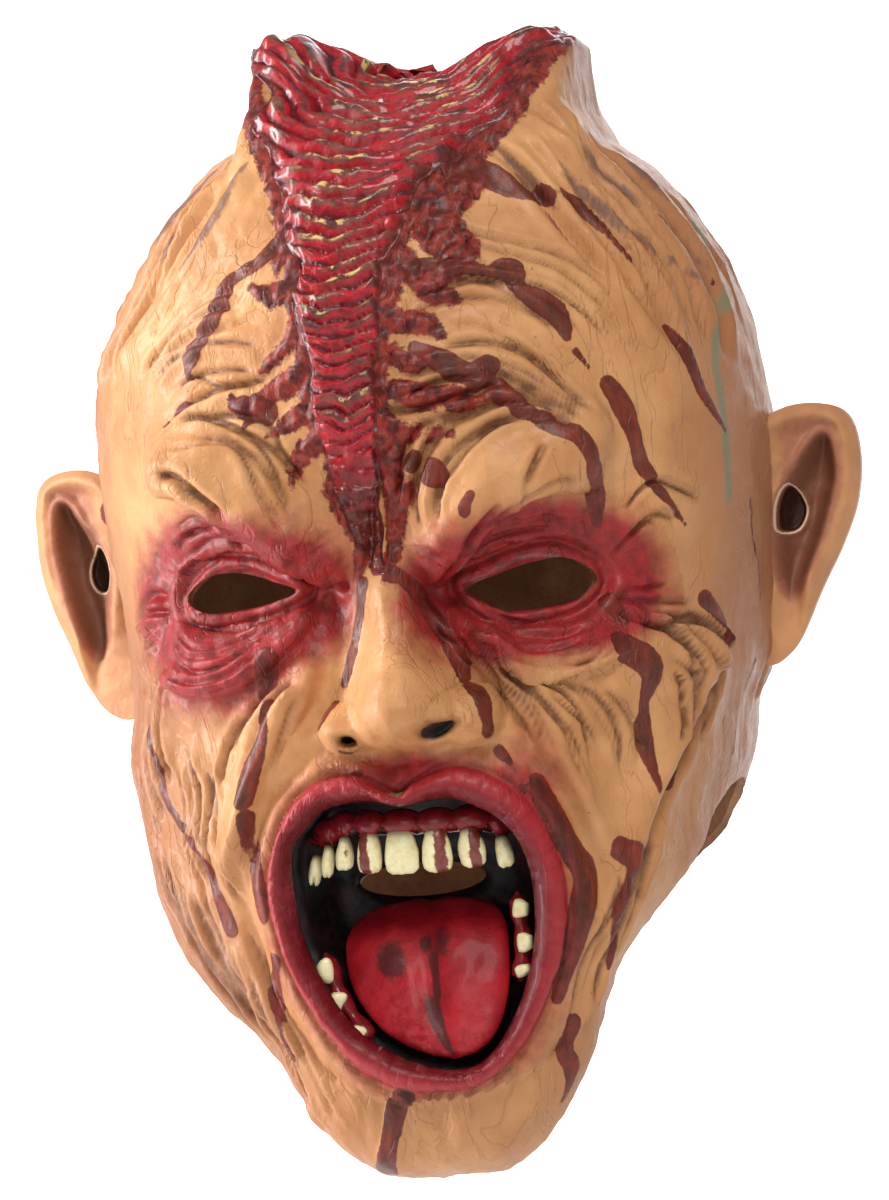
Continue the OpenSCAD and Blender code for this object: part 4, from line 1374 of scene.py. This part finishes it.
gum_material = gum_shader()
tooth_material = tooth_shader()
UPPER = [f"upper_tooth_{i}" for i in range(1, 9)]
upper_boxes = [box(n) for n in UPPER]
upper_middles = np.array([(low + high) / 2 for low, high in upper_boxes])
upper_widths = np.array([high[0] - low[0] for low, high in upper_boxes])

# upper gum: one lobe over each tooth, in a roll that follows the arch
gum_low, gum_high = box("upper_gum")
along = np.linspace(0, 1, 170)
gx = np.linspace(gum_low[0] + 1, gum_high[0] - 1, len(along))
lobe = np.zeros(len(gx))
for m, w in zip(upper_middles, upper_widths):
    lobe = np.maximum(lobe, np.sqrt(np.clip(1 - ((gx - m[0]) / (w * 0.62)) ** 2, 0, 1)))
rise_line = np.interp(gx, upper_middles[:, 0], upper_middles[:, 2] + 6.5)
gum_centres = np.stack([gx, arch_y(gx) + 4.0, rise_line + 1.2 * lobe], axis=1)
swelling = 0.3 + 0.7 * smooth(0, 0.08, along) * smooth(1, 0.92, along)
gum_depth = (4.0 + 2.2 * lobe) * swelling
gum("upper_gum", gum_centres, (2.4 + 1.9 * lobe) * swelling, gum_depth, 0.75 * (1 - lobe) ** 2, 26)


def side_gum(side):
    """A lower gum, behind the three teeth of one side."""
    boxes = [box(f"lower_{side}_tooth_{i}") for i in (1, 2, 3)]
    middles = np.array([(low + high) / 2 for low, high in boxes])
    ends = [middles[0] * 1.55 - middles[1] * 0.55, middles[-1] * 1.5 - middles[-2] * 0.5]
    path = spline([ends[0], *middles, ends[1]], 16)
    outward = path[:, [0, 2]] - MOUTH_MIDDLE
    outward /= np.linalg.norm(outward, axis=1)[:, None]
    path = path + np.stack([-outward[:, 0] * 1.2, np.full(len(path), 2.5), -outward[:, 1] * 1.2], axis=1)
    t = np.linspace(0, 1, len(path))
    near = np.min([np.linalg.norm(path - m, axis=1) for m in middles], axis=0)
    lobes = np.exp(-((near / 4.5) ** 2))
    fade = 0.3 + 0.7 * smooth(0, 0.15, t) * smooth(1, 0.85, t)
    gum(
        f"lower_{side}_gum", path, (1.6 + 1.8 * lobes) * fade, (2.6 + 1.6 * lobes) * fade, 0.6 * (1 - lobes),
        20
    )


side_gum("left")
side_gum("right")


def tooth(node, lean, taper, stain=0.0, notch=0.0, thick=2.6, seed=0, broad=1.18):
    """A tooth from its CAD box; its own z runs from the biting edge up to the gum, before lean turns it."""
    low, high = box(node)
    middle = (low + high) / 2
    c, s = abs(math.cos(math.radians(lean))), abs(math.sin(math.radians(lean)))
    size_x, size_z = high[0] - low[0], high[2] - low[2]
    # its own width and height come from its box, except near 45 degrees, where the box can't tell them
    parting = c * c - s * s
    if c < s:
        parting = min(parting, -0.15)
    elif parting <= 0.15:
        parting = 0.5
    wide = np.clip((size_x * c - size_z * s) / parting, 3, 12)
    tall = np.clip((size_z * c - size_x * s) / parting, 5, 15)
    rows, around = 22, 28
    pick = np.random.default_rng(seed)
    t = np.linspace(0, 1, rows)
    outline = [
        (0, 0.62), (0.06, 0.86), (0.2, 1.0), (0.5, 0.97), (0.8, taper), (0.95, taper * 0.72),
        (1, taper * 0.35)
    ]
    half = broad * wide / 2 * table(t, outline)
    deep = thick * table(t, [(0, 0.35), (0.08, 0.7), (0.3, 1.0), (0.8, 1.05), (1, 0.5)])
    cx, sy = section(around, 0.8, 0.9)
    p = []
    for k in range(rows):
        zz = np.full(around, (t[k] - 0.5) * tall)
        zz = zz + (1 - t[k]) ** 4 * notch * np.sin(cx * 5 + seed)
        p.append(np.stack([half[k] * cx, deep[k] * sy, zz], axis=1))
    p = np.vstack(p)
    p[:, 0] += 0.16 * waves(p, 5, 200 + seed)
    p = np.vstack([p, [0, 0, -0.5 * tall - 0.1], [0, 0, 0.5 * tall]])
    turn = Matrix.Rotation(math.radians(lean), 3, "Y")
    p = p @ np.array(turn).T + middle + np.array([0, -0.5, 0])
    root = np.append(np.repeat(t, around), [0, 1])
    stained = np.zeros(len(p))
    if stain:
        stain_x = middle[0] + math.copysign(0.22, pick.normal()) * wide
        stained = stain * np.exp(-(((p[:, 0] - stain_x) / (0.30 * wide)) ** 2))
    values = {"root": root, "stain": stained}
    build(
        node + "_crown", p, capped_faces(rows, around), [tooth_material], "root", [node],
        values
    )


# each upper tooth's lean, taper, stain and notch
UPPER_LOOK = [
    (12, 0.75, 0.0, 1.2), (8, 0.7, 0.0, 0.3), (5, 0.62, 0.5, 0.2), (2, 0.8, 1.0, 0.2), (0, 0.78, 0.0, 0.2)
]
UPPER_LOOK += [(-2, 0.72, 0.9, 0.2), (-4, 0.72, 1.0, 0.3), (-8, 0.7, 0.0, 0.3)]
for i, (lean, taper, stain, notch) in enumerate(UPPER_LOOK, 1):
    tooth(f"upper_tooth_{i}", lean, taper, stain, notch, seed=i)
for i, lean in enumerate((100, 90, 75), 1):
    tooth(f"lower_left_tooth_{i}", lean, 0.7, thick=1.6, seed=20 + i, broad=0.7)
for i, lean in enumerate((-96, -62, -48), 1):
    tooth(f"lower_right_tooth_{i}", lean, 0.7, thick=1.8, seed=30 + i, broad=0.95)

# tongue, from its root below the slot down over the lower lip: y, z, x, shares of its width and thickness
TONGUE = [
    (-65.5, 77.2, 0, 0.62, 0.45), (-70, 74.5, -0.5, 0.86, 0.8), (-76, 70, -0.5, 0.98, 0.95),
    (-81, 64, 0, 1, 1)
]
TONGUE += [
    (-85, 57, 1, 0.97, 1), (-88.5, 50, 2.5, 0.88, 0.95), (-91.5, 43.5, 4.5, 0.72, 0.85),
    (-94, 38.5, 6.5, 0.5, 0.68)
]
TONGUE += [(-95, 35.5, 8, 0.27, 0.42)]


def tongue():
    low, high = box("tongue")
    half_w, half_t = (high[0] - low[0]) / 2, 6.0
    path = spline([(y, z) for y, z, *_ in TONGUE], 9)
    rows, around = len(path), 96
    t = np.linspace(0, 1, rows)
    marked = [(mark, *row[2:]) for mark, row in zip(np.linspace(0, 1, len(TONGUE)), TONGUE)]
    middle_x, wide, thick = table(t, marked, 1), half_w * table(t, marked, 2), half_t * table(t, marked, 3)
    tangent = np.gradient(path, axis=0)
    tangent /= np.linalg.norm(tangent, axis=1)[:, None]
    top = np.stack([tangent[:, 1], -tangent[:, 0]], axis=1)
    cx, sy = section(around, 0.85, 0.9)
    upper_side = (sy > 0).astype(float)
    lobes = np.where(sy > 0, 1 - 0.34 * np.exp(-((cx / 0.2) ** 2)) - 0.2 * cx**2, 1.0)
    p, dark, raised = [], [], []
    for k in range(rows):
        n = sy * thick[k] * lobes
        p.append(
            np.stack(
                [middle_x[k] + cx * wide[k], path[k, 0] + top[k, 0] * n, path[k, 1] + top[k, 1] * n], axis=1
            )
        )
        # two dark blots, and painted shade down the middle groove towards the tip, along the middle crease
        # and over the root
        blots_and_shade = np.exp(-(((cx + 0.42) / 0.24) ** 2) - ((t[k] - 0.44) / 0.12) ** 2)
        blots_and_shade += 0.8 * np.exp(-(((cx - 0.22) / 0.16) ** 2) - ((t[k] - 0.36) / 0.10) ** 2)
        blots_and_shade += 1.1 * np.exp(-(((cx + 0.05) / 0.14) ** 2)) * smooth(0.5, 0.75, t[k])
        bend = 0.16 * np.sin((t[k] - 0.3) * 7) - 0.06
        blots_and_shade += 1.2 * np.exp(
            -(((cx - bend) / 0.045) ** 2)
        ) * smooth(0.28, 0.36, t[k]) * smooth(0.82, 0.7, t[k])
        blots_and_shade += 0.55 * smooth(0.3, 0.0, t[k])
        dark.append(blots_and_shade * upper_side)
        # painted highlight on top of the two lobes, growing towards the tip
        raised.append(
            upper_side * smooth(0.35, 0.8, t[k]) * (0.4 + np.exp(-(((np.abs(cx) - 0.55) / 0.25) ** 2)))
        )
    p = np.vstack(p)
    p += 0.35 * waves(p, 8, 97)[:, None] * np.array([0, 1, 0.3])
    root_end = [middle_x[0], path[0, 0] + 1.0, path[0, 1] + 1.2]
    tip_end = [middle_x[-1] + 0.4, path[-1, 0] - 0.3, path[-1, 1] - 1.6]
    p = np.vstack([p, root_end, tip_end])
    faces = capped_faces(rows, around)
    values = {"dark": np.append(dark, [0, 0]), "high": np.append(raised, [0, 0])}
    build("tongue_flesh", p, faces, [tongue_shader()], "tongue", ["tongue"], values)


tongue()


# ---------------------------------------------------------------- stage, lights, camera
def stage():
    """A floor that curves up into a backdrop."""
    width, front_y, bend_y, radius, wall = 14.0, -7.0, 5.0, 1.5, 6.0
    floor_z = cad_box[0].z - 0.35
    profile = [(front_y, floor_z), (bend_y, floor_z)]
    for k in range(1, 17):
        a = math.radians(90 * k / 16)
        profile.append((bend_y + radius * math.sin(a), floor_z + radius * (1 - math.cos(a))))
    profile.append((bend_y + radius, wall))
    verts = [(side * width / 2, y, z) for y, z in profile for side in (-1, 1)]
    mesh = bpy.data.meshes.new("backdrop")
    mesh.from_pydata(verts, [], [(2 * k, 2 * k + 1, 2 * k + 3, 2 * k + 2) for k in range(len(profile) - 1)])
    mesh.polygons.foreach_set("use_smooth", [True] * len(mesh.polygons))
    s = Shader("pale_paper", roughness=0.9, specular=0.1)
    tint = s.mix(s.step(s.noise(300, 2), 0.3, 0.7), (0.90, 0.90, 0.90), (0.93, 0.93, 0.93))
    mesh.materials.append(s.finish(tint))
    obj = bpy.data.objects.new("backdrop", mesh)
    bpy.context.scene.collection.objects.link(obj)


stage()
TARGET = Vector((0, 0, 165.7)) * MM


def softbox(name, place, size, power, aim=TARGET, tint=(1, 1, 1)):
    data = bpy.data.lights.new(name, "AREA")
    data.shape = "RECTANGLE"
    data.size, data.size_y = size
    data.energy = power
    data.color = tint
    obj = bpy.data.objects.new(name, data)
    obj.location = place
    obj.rotation_mode = "QUATERNION"
    obj.rotation_quaternion = (aim - Vector(place)).to_track_quat("-Z", "Y")
    bpy.context.scene.collection.objects.link(obj)


softbox("key", (0.45, -1.5, 2.0), (0.9, 0.9), 36, tint=(1.0, 0.97, 0.93))
softbox("fill", (0.7, -2.6, 0.5), (1.4, 1.4), 9)
softbox("strip", (-1.1, -0.15, 0.45), (0.2, 1.3), 26)
softbox("back_wash", (0.0, 4.2, 3.4), (3.6, 1.2), 330, Vector((0, 6.5, 0.3)))

world = bpy.data.worlds.new("studio")
world.use_nodes = True
world.node_tree.nodes["Background"].inputs["Color"].default_value = (0.95, 0.97, 1.0, 1)
world.node_tree.nodes["Background"].inputs["Strength"].default_value = 0.32
bpy.context.scene.world = world
bpy.context.scene.view_settings.view_transform = "Standard"

AZIMUTH, ROLL, DISTANCE, VIEW_HEIGHT = 11.0, -5.0, 2.0, 0.3624
SENSOR = 36
CAMERA_ASIDE = 1.7  # millimetres that the camera stands to the left of the line to its target
right = Vector((math.cos(math.radians(AZIMUTH)), math.sin(math.radians(AZIMUTH)), 0))
ahead = Vector((-math.sin(math.radians(AZIMUTH)), math.cos(math.radians(AZIMUTH)), 0))
camera_data = bpy.data.cameras.new("camera")
camera_data.sensor_width = SENSOR
camera_data.lens = SENSOR * DISTANCE / VIEW_HEIGHT
camera = bpy.data.objects.new("camera", camera_data)
bpy.context.scene.collection.objects.link(camera)
camera.location = TARGET - ahead * DISTANCE - right * CAMERA_ASIDE * MM
camera.rotation_mode = "QUATERNION"
level = ahead.to_track_quat("-Z", "Y")
camera.rotation_quaternion = level @ Matrix.Rotation(math.radians(ROLL), 3, "Z").to_quaternion()
bpy.context.scene.camera = camera
